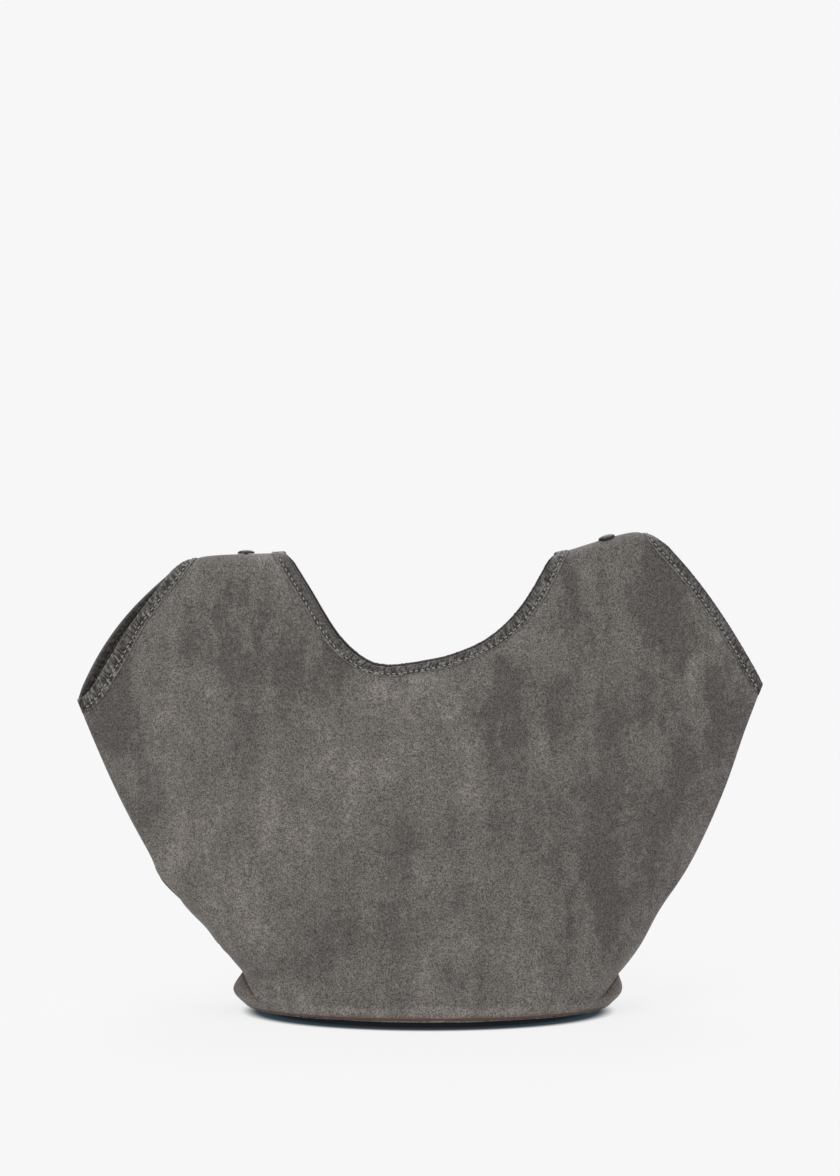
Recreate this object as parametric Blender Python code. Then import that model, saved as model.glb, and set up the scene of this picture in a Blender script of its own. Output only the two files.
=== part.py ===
"""Suede shopper tote, cut like a sleeveless vest: metres, +Z up, front towards -Y."""

import math
from collections import namedtuple

import bmesh
import bpy
import numpy as np
from mathutils import Matrix, Vector

# Silhouette from the front. Reaches are distances left or right of the middle of the span.
TIP_REACH = 0.3005
LEFT_TIP_HEIGHT = 0.2695
RIGHT_TIP_HEIGHT = 0.2825
LEFT_BASE_REACH = 0.1520
RIGHT_BASE_REACH = 0.1660
LEFT_LOBE_BULGE = 0.0120
RIGHT_LOBE_BULGE = 0.0115
LOBE_HEIGHT = 0.0165
LEFT_NOTCH_BULGE = 0.0050
RIGHT_NOTCH_BULGE = 0.0075
NOTCH_HEIGHT = 0.0330
FLANK_SHARES = (0.58, 0.32)

# Shoulders and the openings beside them.
NECK_REACH = 0.1200
NECK_HEIGHT = 0.4000
RIGHT_NECK_SAG = 0.0010
NECK_DROP = 0.1011
SHOULDER_WIDTH = 0.0845
LEFT_SHOULDER_SAG = 0.0025
RIGHT_SHOULDER_RISE = 0.0175
SHOULDER_PEAK_SHARE = 0.75
SHOULDER_END_FALL = 0.0040
NECK_SHARES = (
    (0.085, 0.315),
    (0.19, 0.72),
    (0.29, 0.94),
    (0.38, 1.0),
    (0.50, 0.968),
    (0.63, 0.897),
    (0.77, 0.735),
    (0.89, 0.442),
)
NECK_SQUARE_SHARE = 0.4
LEFT_FRONT_OPENING_SHARES = (0.62, 0.50)
LEFT_BACK_OPENING_SHARES = (0.63, 0.71)
RIGHT_OPENING_SHARES = (0.28, 0.87)

# Depth of the bag, as the distance from its middle plane to the front.
BASE_HALF_DEPTH = 0.0700
WAIST_HALF_DEPTH = 0.0560
WAIST_HEIGHT = 0.1500
CHEST_HALF_DEPTH = 0.0320
CHEST_HEIGHT = 0.2800
SHOULDER_HALF_DEPTH = 0.0185
SHOULDER_ROLL_HEIGHT = 0.0120
ROLL_POWER = 2.4
OVAL_POWERS = (2.0, 0.5)
LENS_POWERS = (2.5, 1.0)
LENS_HEIGHT = 0.2000
TIP_SPREAD = 0.0450

# Sheet thicknesses and the room between sheets.
SUEDE = 0.0016
BINDING = 0.0012
BINDING_WIDTH = 0.0100
PATCH = 0.0012
CLEARANCE = 0.0003
SEAM_GAP = 0.0003

# Flat bottom.
BASE_THICKNESS = 0.0030
BASE_OVERHANG = 0.0010
BASE_ROUNDING = 0.0007
BOARD_THICKNESS = 0.0020
BOARD_MARGIN = 0.0010
LINING_THICKNESS = 0.0008

# Double-cap rivets on the shoulder seams.
LEFT_RIVET_SHARE = 0.39
RIGHT_RIVET_SHARE = 0.52
CAP_DIAMETER = 0.0150
CAP_HEIGHT = 0.0028
CAP_EDGE = 0.0009
CAP_BORE_DEPTH = 0.0012
SHANK_DIAMETER = 0.0030
FLANGE_DIAMETER = 0.0090
FLANGE_THICKNESS = 0.0008
CUTTER_OVERRUN = 0.0030

# Mesh counts.
SIDE_STEPS = 14
SHOULDER_STEPS = 6
NECK_STEPS = 26
END_CROWDING_SHARE = 0.68
MIDDLE_ROWS = 6
ROLL_ROWS = 4
LOW_ROW_SHARES = (0.0, 0.25, 0.5, 0.75, 1.0)
PATCH_INSET_STEPS = 1
PATCH_EXTRA_ROWS = 1
OVAL_STEPS = 48
TURN_STEPS = 20
DOME_STEPS = 5
FINE_STEPS = 40
SHARP_DEGREES = 40

SHOULDER_END_REACH = NECK_REACH + SHOULDER_WIDTH
Side = namedtuple("Side", "sign tip_z base lobe notch peak_z neck_z rivet_share")
LEFT = Side(
    -1,
    LEFT_TIP_HEIGHT,
    LEFT_BASE_REACH,
    LEFT_BASE_REACH + LEFT_LOBE_BULGE,
    LEFT_BASE_REACH + LEFT_NOTCH_BULGE,
    NECK_HEIGHT - LEFT_SHOULDER_SAG,
    NECK_HEIGHT,
    LEFT_RIVET_SHARE,
)
RIGHT = Side(
    1,
    RIGHT_TIP_HEIGHT,
    RIGHT_BASE_REACH,
    RIGHT_BASE_REACH + RIGHT_LOBE_BULGE,
    RIGHT_BASE_REACH + RIGHT_NOTCH_BULGE,
    NECK_HEIGHT + RIGHT_SHOULDER_RISE,
    NECK_HEIGHT - RIGHT_NECK_SAG,
    RIGHT_RIVET_SHARE,
)
FLOOR_OF_PANELS = BASE_THICKNESS + CLEARANCE
SLOPE_STEP = SUEDE / 5
ROLL_ARC = math.pi / 4 * (SHOULDER_ROLL_HEIGHT + SHOULDER_HALF_DEPTH)
Panel = namedtuple("Panel", "outer normals faces rows crest")
DEEP_CORNERS = (0, 1, 6, 7)
LEFT_OPENING, LEFT_SHOULDER, NECK, RIGHT_SHOULDER, RIGHT_OPENING = range(5)


def smooth(value):
    """Ease from 0 to 1."""
    held = np.clip(value, 0.0, 1.0)
    return held * held * (3.0 - 2.0 * held)


def spline(points, steps=FINE_STEPS):
    """Points on a Catmull-Rom curve through the given ones."""
    held = np.array(points, float)
    before = 2 * held[0] - held[1]
    after = 2 * held[-1] - held[-2]
    held = np.vstack([before, held, after])
    found = []
    for a, b, c, d in zip(held, held[1:], held[2:], held[3:]):
        for t in np.arange(steps) / steps:
            line = 2 * b + (c - a) * t
            bend = (2 * a - 5 * b + 4 * c - d) * t**2 + (3 * b - a - 3 * c + d) * t**3
            found.append((line + bend) / 2)
    return np.vstack([found, held[-2]])


def bezier(*controls):
    """Points on the curve that the control points pull."""
    t = np.linspace(0, 1, FINE_STEPS + 1)[:, None]
    lines = [np.array(point, float) for point in controls]
    while len(lines) > 1:
        lines = [a * (1 - t) + b * t for a, b in zip(lines, lines[1:])]
    return lines[0]


def lengths(points):
    """Distance along a line of points, from its start."""
    steps = np.linalg.norm(np.diff(points, axis=0), axis=1)
    return np.concatenate([[0.0], np.cumsum(steps)])


def spaced(points, count, both_ends):
    """The same line in count steps, closer together at its last end or at both."""
    along = lengths(points)
    share = np.linspace(0, 1, count + 1)
    if both_ends:
        share = share - END_CROWDING_SHARE * np.sin(math.tau * share) / math.tau
    else:
        share = share + END_CROWDING_SHARE * np.sin(math.pi * share) / math.pi
    wanted = share * along[-1]
    return np.array([np.interp(wanted, along, column) for column in points.T]).T


def seam(side):
    """The side seam from the base end up to the tip."""
    base = (side.base, FLOOR_OF_PANELS)
    lobe = (side.lobe, LOBE_HEIGHT)
    notch = (side.notch, NOTCH_HEIGHT)
    tip = (TIP_REACH, side.tip_z)
    flank = [a + (b - a) * share for a, b, share in zip(notch, tip, FLANK_SHARES)]
    line = np.vstack([spline([base, lobe, notch])[:-1], bezier(notch, flank, tip)])
    return line * (side.sign, 1)


SEAMS = {side.sign: seam(side) for side in (LEFT, RIGHT)}


def seam_x(side, z):
    line = SEAMS[side.sign]
    return np.interp(z, line[:, 1], line[:, 0])


def crest_line():
    """Height of the two shoulders from the front, left to right."""
    points = []
    for side in (LEFT, RIGHT):
        peak = (NECK_REACH + SHOULDER_WIDTH * SHOULDER_PEAK_SHARE, side.peak_z)
        end = (SHOULDER_END_REACH, side.peak_z - SHOULDER_END_FALL)
        shoulder = spline([(NECK_REACH, side.neck_z), peak, end]) * (side.sign, 1)
        points.append(shoulder[:: side.sign])
    return np.vstack(points)


CREST = crest_line()


def crest_z(x):
    return np.interp(x, CREST[:, 0], CREST[:, 1])


def crest_sheet(x):
    """Height of the crest with the rolled shoulder laid out flat."""
    return crest_z(x) + ROLL_ARC - SHOULDER_ROLL_HEIGHT


def half_depth(z):
    """Half the depth of the bag at its middle, by height."""
    line = spline(
        [
            (FLOOR_OF_PANELS, BASE_HALF_DEPTH),
            (WAIST_HEIGHT, WAIST_HALF_DEPTH),
            (CHEST_HEIGHT, CHEST_HALF_DEPTH),
            (RIGHT.neck_z, SHOULDER_HALF_DEPTH),
        ]
    )
    return np.interp(z, line[:, 0], line[:, 1])


def tip_gap(x, z):
    """Extra room between the panels near the tips, for the folded binding ends."""
    tip = np.interp(x, (-TIP_REACH, TIP_REACH), (LEFT.tip_z, RIGHT.tip_z))
    return (CLEARANCE + BINDING) * smooth((z - tip + TIP_SPREAD) / TIP_SPREAD)


def surface(x, sheet_z, front):
    """Places on the outside of a panel, from places on its sheet with the shoulders laid flat."""
    fall = np.maximum(crest_sheet(x) - sheet_z, 0.0)
    angle = math.pi / 2 * np.clip(fall / ROLL_ARC, 0.0, 1.0)
    drop = SHOULDER_ROLL_HEIGHT * (1 - np.cos(angle) ** (2 / ROLL_POWER))
    z = np.where(fall < ROLL_ARC, crest_z(x) - drop, sheet_z)
    roll = np.sin(angle) ** (2 / ROLL_POWER)
    left = seam_x(LEFT, z)
    right = seam_x(RIGHT, z)
    across = np.clip(np.abs(2 * x - left - right) / (right - left), 0.0, 1.0)
    lens = smooth((z - FLOOR_OF_PANELS) / (LENS_HEIGHT - FLOOR_OF_PANELS))
    power, root = (a + (b - a) * lens for a, b in zip(OVAL_POWERS, LENS_POWERS))
    depth = SUEDE + tip_gap(x, z) + half_depth(z) * (1 - across**power) ** root
    y = SEAM_GAP / 2 + depth * roll
    return np.stack([x, -y if front else y, z], axis=-1)


def outward(x, sheet_z, front):
    """Direction square to the outside of a panel, at places on the sheet."""
    half = np.where(x < 0, -1.0, 1.0)
    here = surface(x, sheet_z, front)
    across = (here - surface(x - half * SLOPE_STEP, sheet_z, front)) * half[..., None]
    upward = here - surface(x, sheet_z - SLOPE_STEP, front)
    return np.cross(across, upward) if front else np.cross(upward, across)


def opening_edge(side, front):
    """The edge of a side opening on the sheet, from the tip up to the shoulder."""
    tip = np.array([side.sign * TIP_REACH, side.tip_z])
    end_x = side.sign * SHOULDER_END_REACH
    end = np.array([end_x, crest_sheet(end_x)])
    shares = RIGHT_OPENING_SHARES
    if side is LEFT:
        shares = LEFT_FRONT_OPENING_SHARES if front else LEFT_BACK_OPENING_SHARES
    control = (end[0] + (tip[0] - end[0]) * shares[0], tip[1] + (end[1] - tip[1]) * shares[1])
    square = (end_x, end[1] - ROLL_ARC)
    return spaced(bezier(tip, control, square, end), SIDE_STEPS, False)


def neck_edge():
    """The neck edge on the sheet, from the left shoulder to the right one."""
    start = (-NECK_REACH, crest_sheet(-NECK_REACH))
    end = (NECK_REACH, crest_sheet(NECK_REACH))
    square = ROLL_ARC * NECK_SQUARE_SHARE
    points = [start, (start[0], start[1] - square)]
    for along, down in NECK_SHARES:
        top = LEFT.neck_z + (RIGHT.neck_z - LEFT.neck_z) * along
        points.append((NECK_REACH * (2 * along - 1), top - NECK_DROP * down))
    points += [(end[0], end[1] - square), end]
    return spaced(spline(points), NECK_STEPS, True)


def inset(edge, start_way, end_way, turn):
    """A line one binding width inside the edge; its ends lie in the ways given."""
    along = lengths(edge)
    run = np.gradient(edge, axis=0)
    run /= np.linalg.norm(run, axis=1)[:, None]
    square = turn * np.stack([-run[:, 1], run[:, 0]], axis=1)
    found = []
    for place, way, at in zip(edge, square, along):
        for end, own in ((at, start_way), (along[-1] - at, end_way)):
            share = 1 - smooth(end / (2 * BINDING_WIDTH))
            way = way + (np.array(own) - way) * share
        way = way / np.linalg.norm(way)
        found.append(place + way * BINDING_WIDTH)
    return np.array(found)


def seam_way(side):
    """Unit direction from a tip down its seam."""
    low = side.tip_z - BINDING_WIDTH
    step = np.array([seam_x(side, low) - side.sign * TIP_REACH, -BINDING_WIDTH])
    return step / np.linalg.norm(step)


def sheet_top(front):
    """Edge line, binding line and the kind of each column, left to right."""
    left = opening_edge(LEFT, front)
    neck = neck_edge()
    right = opening_edge(RIGHT, front)
    left_in = inset(left, seam_way(LEFT), (1, 0), -1)
    neck_in = inset(neck, (-1, 0), (1, 0), -1)
    right_in = inset(right, seam_way(RIGHT), (-1, 0), 1)
    for line, spots in ((left_in, (-1,)), (neck_in, (0, -1)), (right_in, (-1,))):
        for spot in spots:
            line[spot, 1] = crest_sheet(line[spot, 0])
    left_in[0, 0] = seam_x(LEFT, left_in[0, 1])
    right_in[0, 0] = seam_x(RIGHT, right_in[0, 1])
    shoulders = []
    for a, b in ((left_in[-1], neck_in[0]), (neck_in[-1], right_in[-1])):
        x = np.linspace(a[0], b[0], SHOULDER_STEPS + 1)[1:-1]
        shoulders.append(np.stack([x, crest_sheet(x)], axis=1))
    line = np.vstack([left_in, shoulders[0], neck_in, shoulders[1], right_in[::-1]])
    nothing = np.full_like(shoulders[0], np.nan)
    edge = np.vstack([left, nothing, neck, nothing, right[::-1]])
    return edge, line


def sheet_grid(line):
    """Sheet places of a panel, row by row from the base to the binding line."""
    along = lengths(line)
    share = along / along[-1]
    middle = (seam_x(LEFT, FLOOR_OF_PANELS) + seam_x(RIGHT, FLOOR_OF_PANELS)) / 2
    reach = (seam_x(RIGHT, FLOOR_OF_PANELS) - seam_x(LEFT, FLOOR_OF_PANELS)) / 2
    base_x = middle + reach * np.sin(math.pi / 2 * (2 * share - 1))
    tall = line[:, 1] - FLOOR_OF_PANELS
    low = (NOTCH_HEIGHT - FLOOR_OF_PANELS) * np.array(LOW_ROW_SHARES)
    roll = ROLL_ARC * np.linspace(1, 0, ROLL_ROWS + 1)
    rows = []
    for height in low:
        rows.append(height / tall)
    for step in range(1, MIDDLE_ROWS):
        part = step / MIDDLE_ROWS
        rows.append((low[-1] * (1 - part) + (tall - roll[0]) * part) / tall)
    for fall in roll:
        rows.append(1 - fall / tall)
    grid = []
    for up in rows:
        x = base_x * (1 - up) + line[:, 0] * up
        for side, column, weight in ((LEFT, 0, 1 - share), (RIGHT, -1, share)):
            straight = base_x[column] * (1 - up) + line[column, 0] * up
            x = x + weight * (seam_x(side, FLOOR_OF_PANELS + up * tall[column]) - straight)
        grid.append(np.stack([x, FLOOR_OF_PANELS + up * tall], axis=1))
    return np.array(grid)


def column_ranges():
    """First and last column of the left opening, left shoulder, neck, right shoulder and right opening."""
    ends = [0]
    for steps in (SIDE_STEPS, SHOULDER_STEPS, NECK_STEPS, SHOULDER_STEPS, SIDE_STEPS):
        ends.append(ends[-1] + steps)
    return list(zip(ends, ends[1:]))


def panel_grid(front):
    """Outer places, normals and quads of a panel."""
    edge, line = sheet_top(front)
    sheet = np.concatenate([sheet_grid(line), edge[None]])
    rows, columns = sheet.shape[0] - 1, sheet.shape[1]
    outer = surface(sheet[..., 0], sheet[..., 1], front)
    bare = np.isnan(outer[rows, :, 0])
    outer[rows, bare] = outer[rows - 1, bare]
    sheet[rows, bare] = sheet[rows - 1, bare]
    faces = []
    for row in range(rows):
        for column in range(columns - 1):
            if row == rows - 1 and (bare[column] or bare[column + 1]):
                continue
            corner = row * columns + column
            quad = (corner, corner + 1, corner + columns + 1, corner + columns)
            faces += split(quad, True)
    if not front:
        faces = [face[::-1] for face in faces]
    crest = np.abs(outer[..., 1]) < SEAM_GAP
    normals = outward(sheet[..., 0], sheet[..., 1], front)
    normals[crest, 1] = 0
    normals /= np.linalg.norm(normals, axis=-1)[..., None]
    return Panel(outer, normals, faces, rows, crest)


def split(quad, first_to_third):
    """Two triangles. Sheets that lie on each other are split alike, so that they stay parallel."""
    a, b, c, d = quad
    return [(a, b, c), (a, c, d)] if first_to_third else [(a, b, d), (b, c, d)]


def panel_inner(panel, front):
    """The inside of a panel: a sheet thickness in, flat where it meets the base or the other panel."""
    inward = panel.normals.copy()
    inward[0, :, 2] = 0
    inward[0] /= np.linalg.norm(inward[0], axis=1)[:, None]
    inner = panel.outer - inward * SUEDE
    facing = -1 if front else 1
    middle = SEAM_GAP / 2 + tip_gap(panel.outer[..., 0], panel.outer[..., 2])
    for column in (0, -1):
        inner[:, column, 1] = facing * middle[:, column]
    inner[panel.crest, 1] = facing * SEAM_GAP / 2
    inner[..., 1] = facing * np.maximum(facing * inner[..., 1], SEAM_GAP / 2)
    return inner


def shell(outer, inner, skin):
    """One closed sheet from two matching skins."""
    count = len(outer)
    edges = {(a, b) for face in skin for a, b in zip(face, face[1:] + face[:1])}
    faces = list(skin)
    faces += [tuple(v + count for v in reversed(face)) for face in skin]
    faces += [(b, a, a + count, b + count) for a, b in sorted(edges) if (b, a) not in edges]
    return np.vstack([outer, inner]), faces


def make_panel(name, front, material):
    panel = panel_grid(front)
    inner = panel_inner(panel, front)
    points, faces = shell(panel.outer.reshape(-1, 3), inner.reshape(-1, 3), panel.faces)
    return add_mesh(name, points, faces, material)


def station(panel, column):
    """The folded binding's section round the edge at one column."""
    edge = panel.outer[panel.rows, column]
    deep = panel.outer[panel.rows - 1, column]
    edge_out = panel.normals[panel.rows, column]
    deep_out = panel.normals[panel.rows - 1, column]
    away = (edge - deep) / np.linalg.norm(edge - deep)
    near = CLEARANCE
    far = CLEARANCE + BINDING
    under = SUEDE + CLEARANCE
    bottom = SUEDE + CLEARANCE + BINDING
    return [
        deep + deep_out * near,
        deep + deep_out * far,
        edge + edge_out * far,
        edge + away * far,
        edge + away * far - edge_out * SUEDE,
        edge - edge_out * bottom,
        deep - deep_out * bottom,
        deep - deep_out * under,
        edge + away * near - edge_out * under,
        edge + away * near + edge_out * near,
    ]


def swept(sections, rising, closed):
    """Skin through a row of like sections, with flat ends unless it closes on itself."""
    size = len(sections[0])
    points = np.vstack(sections)
    count = len(sections)
    faces = []
    for place in range(count if closed else count - 1):
        here, after = place * size, (place + 1) % count * size
        for corner in range(size):
            beside = (corner + 1) % size
            quad = (here + corner, here + beside, after + beside, after + corner)
            faces += split(quad, (corner in DEEP_CORNERS) == rising[place])
    if not closed:
        faces.append(tuple(range(size))[::-1])
        faces.append(tuple(v + (count - 1) * size for v in range(size)))
    return points, faces


def make_binding(name, front, back, part, material):
    """The folded strip round an opening, from both panels' edges."""
    first, last = column_ranges()[part]
    columns = list(range(first, last + 1))
    rising = part != RIGHT_OPENING
    if not rising:
        columns.reverse()
    sections = [station(front, column) for column in columns]
    sections += [station(back, column) for column in reversed(columns)]
    ways = [rising] * len(columns) + [not rising] * len(columns)
    points, faces = swept(sections, ways, part == NECK)
    return add_mesh(name, points, faces, material)


def make_patch(name, front, back, part, material):
    """The strip under a shoulder seam, running down inside both panels."""
    first, last = column_ranges()[part]
    columns = slice(first + PATCH_INSET_STEPS, last + 1 - PATCH_INSET_STEPS)
    top = front.rows - 1
    rows = range(top - ROLL_ROWS - PATCH_EXTRA_ROWS, top + 1)
    skins = []
    for depth in (SUEDE + CLEARANCE, SUEDE + CLEARANCE + PATCH):
        lines = [
            [panel.outer[row, columns] - panel.normals[row, columns] * depth for row in rows]
            for panel in (front, back)
        ]
        crest = (lines[0][-1] + lines[1][-1]) / 2
        skins.append(np.array(lines[0][:-1] + [crest] + lines[1][-2::-1]))
    count, size = skins[0].shape[:2]
    skin = []
    for row in range(count - 1):
        for column in range(size - 1):
            corner = row * size + column
            quad = (corner, corner + 1, corner + size + 1, corner + size)
            skin += split(quad, row < len(rows) - 1)
    points, faces = shell(skins[0].reshape(-1, 3), skins[1].reshape(-1, 3), skin)
    return add_mesh(name, points, faces, material)


def oval(change, z):
    """The outline of the bottom, widened or narrowed all round."""
    left = seam_x(LEFT, FLOOR_OF_PANELS)
    right = seam_x(RIGHT, FLOOR_OF_PANELS)
    reach = (right - left) / 2 + change
    depth = BASE_HALF_DEPTH + SUEDE + SEAM_GAP / 2 + change
    angles = np.arange(OVAL_STEPS) / OVAL_STEPS * math.tau
    x = (left + right) / 2 + reach * np.cos(angles)
    return np.stack([x, depth * np.sin(angles), np.full_like(x, z)], axis=1)


def make_plate(name, loops, material):
    """A flat oval piece from its outlines, bottom to top."""
    points = np.vstack(loops)
    faces = [tuple(range(OVAL_STEPS))[::-1]]
    for level in range(len(loops) - 1):
        here, above = level * OVAL_STEPS, (level + 1) * OVAL_STEPS
        for v in range(OVAL_STEPS):
            beside = (v + 1) % OVAL_STEPS
            faces.append((here + v, here + beside, above + beside, above + v))
    faces.append(tuple(v + (len(loops) - 1) * OVAL_STEPS for v in range(OVAL_STEPS)))
    return add_mesh(name, points, faces, material)


def make_base(suede, board, lining):
    low = BASE_ROUNDING
    loops = [
        oval(BASE_OVERHANG - BASE_ROUNDING, 0),
        oval(BASE_OVERHANG, low),
        oval(BASE_OVERHANG, BASE_THICKNESS - low),
        oval(BASE_OVERHANG - BASE_ROUNDING, BASE_THICKNESS),
    ]
    inside = -SUEDE - BOARD_MARGIN
    board_low = BASE_THICKNESS + CLEARANCE
    board_high = board_low + BOARD_THICKNESS
    lining_low = board_high + CLEARANCE
    lining_high = lining_low + LINING_THICKNESS
    return [
        make_plate("base_panel", loops, suede),
        make_plate("base_board", [oval(inside, board_low), oval(inside, board_high)], board),
        make_plate("base_lining", [oval(inside, lining_low), oval(inside, lining_high)], lining),
    ]


def roll_drop(across, x):
    """How far the rolled shoulder falls at a distance across its crest."""
    z = crest_z(x)
    left, right = seam_x(LEFT, z), seam_x(RIGHT, z)
    side_share = abs(2 * x - left - right) / (right - left)
    depth = SUEDE + tip_gap(x, z) + half_depth(z) * (1 - side_share ** LENS_POWERS[0])
    share = min(across / depth, 1.0)
    return SHOULDER_ROLL_HEIGHT * (1 - (1 - share**ROLL_POWER) ** (1 / ROLL_POWER))


def turned(profile):
    """Points and faces of a turned solid, from radii and heights, axis to axis."""
    points = []
    rings = []
    for radius, height in profile:
        ring = [len(points)]
        if radius == 0:
            points.append((0, 0, height))
        else:
            ring = list(range(len(points), len(points) + TURN_STEPS))
            for step in range(TURN_STEPS):
                angle = math.tau * step / TURN_STEPS
                points.append((radius * math.cos(angle), radius * math.sin(angle), height))
        rings.append(ring)
    faces = []
    for low, high in zip(rings, rings[1:]):
        for step in range(TURN_STEPS):
            after = (step + 1) % TURN_STEPS
            quad = [
                low[step % len(low)],
                low[after % len(low)],
                high[after % len(high)],
                high[step % len(high)],
            ]
            faces.append(tuple(dict.fromkeys(quad)))
    return points, faces


def rivet_x(side):
    return side.sign * (NECK_REACH + SHOULDER_WIDTH * side.rivet_share)


def rivet_place(side):
    """Frame on the crest, with its Z axis square to the shoulder."""
    x = rivet_x(side)
    rise = crest_z(x + CAP_DIAMETER / 2) - crest_z(x - CAP_DIAMETER / 2)
    tilt = Matrix.Rotation(-math.atan2(rise, CAP_DIAMETER), 4, "Y")
    return Matrix.Translation(Vector((x, 0, crest_z(x)))) @ tilt


def rivet_cap_profile():
    radius = CAP_DIAMETER / 2
    bore = SHANK_DIAMETER / 2 + CLEARANCE
    base = CLEARANCE
    profile = [(0, base + CAP_BORE_DEPTH), (bore, base + CAP_BORE_DEPTH), (bore, base), (radius, base)]
    for step in range(DOME_STEPS + 1):
        angle = math.pi / 2 * step / DOME_STEPS
        height = CAP_EDGE + (CAP_HEIGHT - CAP_EDGE) * math.sin(angle)
        profile.append((radius * math.cos(angle) if step < DOME_STEPS else 0, base + height))
    return profile


def rivet_post_profile(side):
    flange = FLANGE_DIAMETER / 2
    shank = SHANK_DIAMETER / 2
    seat = SUEDE + 2 * CLEARANCE + PATCH + roll_drop(flange, rivet_x(side))
    top = CAP_BORE_DEPTH
    low = -seat - FLANGE_THICKNESS
    return [(0, low), (flange, low), (flange, -seat), (shank, -seat), (shank, top), (0, top)]


def make_rivet(side, word, metal):
    place = rivet_place(side)
    made = []
    for name, profile in (
        ("rivet_cap_" + word, rivet_cap_profile()),
        ("rivet_post_" + word, rivet_post_profile(side)),
    ):
        points, faces = turned(profile)
        piece = add_mesh(name, points, faces, metal)
        piece.matrix_world = place
        made.append(piece)
    return made


def make_hole_cutter(side, word):
    """A hidden drill for the rivet's hole."""
    radius = SHANK_DIAMETER / 2 + CLEARANCE
    low = -SUEDE - CLEARANCE - PATCH - CUTTER_OVERRUN
    points, faces = turned([(0, low), (radius, low), (radius, CUTTER_OVERRUN), (0, CUTTER_OVERRUN)])
    cutter = add_mesh("rivet_hole_" + word, points, faces, None)
    cutter.matrix_world = rivet_place(side)
    cutter.hide_render = True
    cutter.display_type = "WIRE"
    return cutter


def drill(piece, cutter):
    cut = piece.modifiers.new(cutter.name, "BOOLEAN")
    cut.operation = "DIFFERENCE"
    cut.solver = "EXACT"
    cut.object = cutter


def add_mesh(name, points, faces, material):
    mesh = bpy.data.meshes.new(name)
    mesh.from_pydata([tuple(map(float, p)) for p in points], [], faces)
    drop_loose(mesh)
    mesh.shade_smooth()
    mesh.set_sharp_from_angle(angle=math.radians(SHARP_DEGREES))
    if material:
        mesh.materials.append(material)
    piece = bpy.data.objects.new(name, mesh)
    bpy.context.collection.objects.link(piece)
    return piece


def drop_loose(mesh):
    """Removes grid points that no face uses, and turns every face outwards."""
    work = bmesh.new()
    work.from_mesh(mesh)
    loose = [v for v in work.verts if not v.link_faces]
    bmesh.ops.delete(work, geom=loose, context="VERTS")
    bmesh.ops.recalc_face_normals(work, faces=work.faces)
    work.to_mesh(mesh)
    work.free()


def add_material(name, colour, roughness, metallic=0.0):
    material = bpy.data.materials.new(name)
    material.use_nodes = True
    shader = material.node_tree.nodes["Principled BSDF"]
    shader.inputs["Base Color"].default_value = (*colour, 1)
    shader.inputs["Roughness"].default_value = roughness
    shader.inputs["Metallic"].default_value = metallic
    return material


def build():
    for old in list(bpy.data.objects):
        bpy.data.objects.remove(old)
    suede = add_material("grey_suede", (0.130, 0.121, 0.112), 0.95)
    leather = add_material("dark_binding_leather", (0.085, 0.082, 0.078), 0.55)
    metal = add_material("dark_gunmetal", (0.050, 0.048, 0.047), 0.35, 1.0)
    board = add_material("grey_board", (0.300, 0.270, 0.230), 0.90)
    lining = add_material("base_cover", (0.110, 0.102, 0.095), 0.90)
    front = panel_grid(True)
    back = panel_grid(False)
    front_piece = make_panel("front_panel", True, suede)
    back_piece = make_panel("back_panel", False, suede)
    pieces = [front_piece, back_piece]
    pieces.append(make_binding("side_binding_left", front, back, LEFT_OPENING, leather))
    pieces.append(make_binding("neck_binding", front, back, NECK, leather))
    pieces.append(make_binding("side_binding_right", front, back, RIGHT_OPENING, leather))
    pieces += make_base(suede, board, lining)
    for side, word, part in ((LEFT, "left", LEFT_SHOULDER), (RIGHT, "right", RIGHT_SHOULDER)):
        patch = make_patch("shoulder_patch_" + word, front, back, part, leather)
        cutter = make_hole_cutter(side, word)
        for piece in (front_piece, back_piece, patch):
            drill(piece, cutter)
        pieces.append(patch)
        pieces += make_rivet(side, word, metal)
    tote = bpy.data.objects.new("tote", None)
    bpy.context.collection.objects.link(tote)
    bpy.context.view_layer.update()
    for piece in pieces:
        piece.parent = tote


build()
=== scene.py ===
"""Dresses the suede shopper tote: soft shell, folded bindings, thread, bottom, straps and rivets."""

import math
from collections import namedtuple

import bmesh
import bpy
import numpy as np
from bpy.props import FloatProperty, FloatVectorProperty, PointerProperty
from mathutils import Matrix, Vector, noise


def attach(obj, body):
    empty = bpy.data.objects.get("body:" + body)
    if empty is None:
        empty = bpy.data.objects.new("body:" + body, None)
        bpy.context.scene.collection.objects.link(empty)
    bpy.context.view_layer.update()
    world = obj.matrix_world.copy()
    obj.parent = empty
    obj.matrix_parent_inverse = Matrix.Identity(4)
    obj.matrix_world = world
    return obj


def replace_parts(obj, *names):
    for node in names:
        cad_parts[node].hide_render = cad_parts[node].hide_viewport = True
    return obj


bl_info = {
    "name": "Suede Shopper Tote",
    "version": (1, 0, 0),
    "blender": (4, 5, 0),
    "location": "3D View > Sidebar > Tote",
    "description": "Builds a suede shopper tote with bound openings and riveted shoulders",
    "category": "Add Mesh",
}

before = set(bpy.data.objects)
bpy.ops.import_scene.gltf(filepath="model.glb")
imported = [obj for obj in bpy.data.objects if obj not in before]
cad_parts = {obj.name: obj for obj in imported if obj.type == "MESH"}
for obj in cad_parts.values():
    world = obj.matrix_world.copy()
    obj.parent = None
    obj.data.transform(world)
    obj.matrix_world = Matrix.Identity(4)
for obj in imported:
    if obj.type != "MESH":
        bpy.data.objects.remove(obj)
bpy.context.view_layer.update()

MM = 0.001
FLANK_SHARES = (0.58, 0.32)
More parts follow.
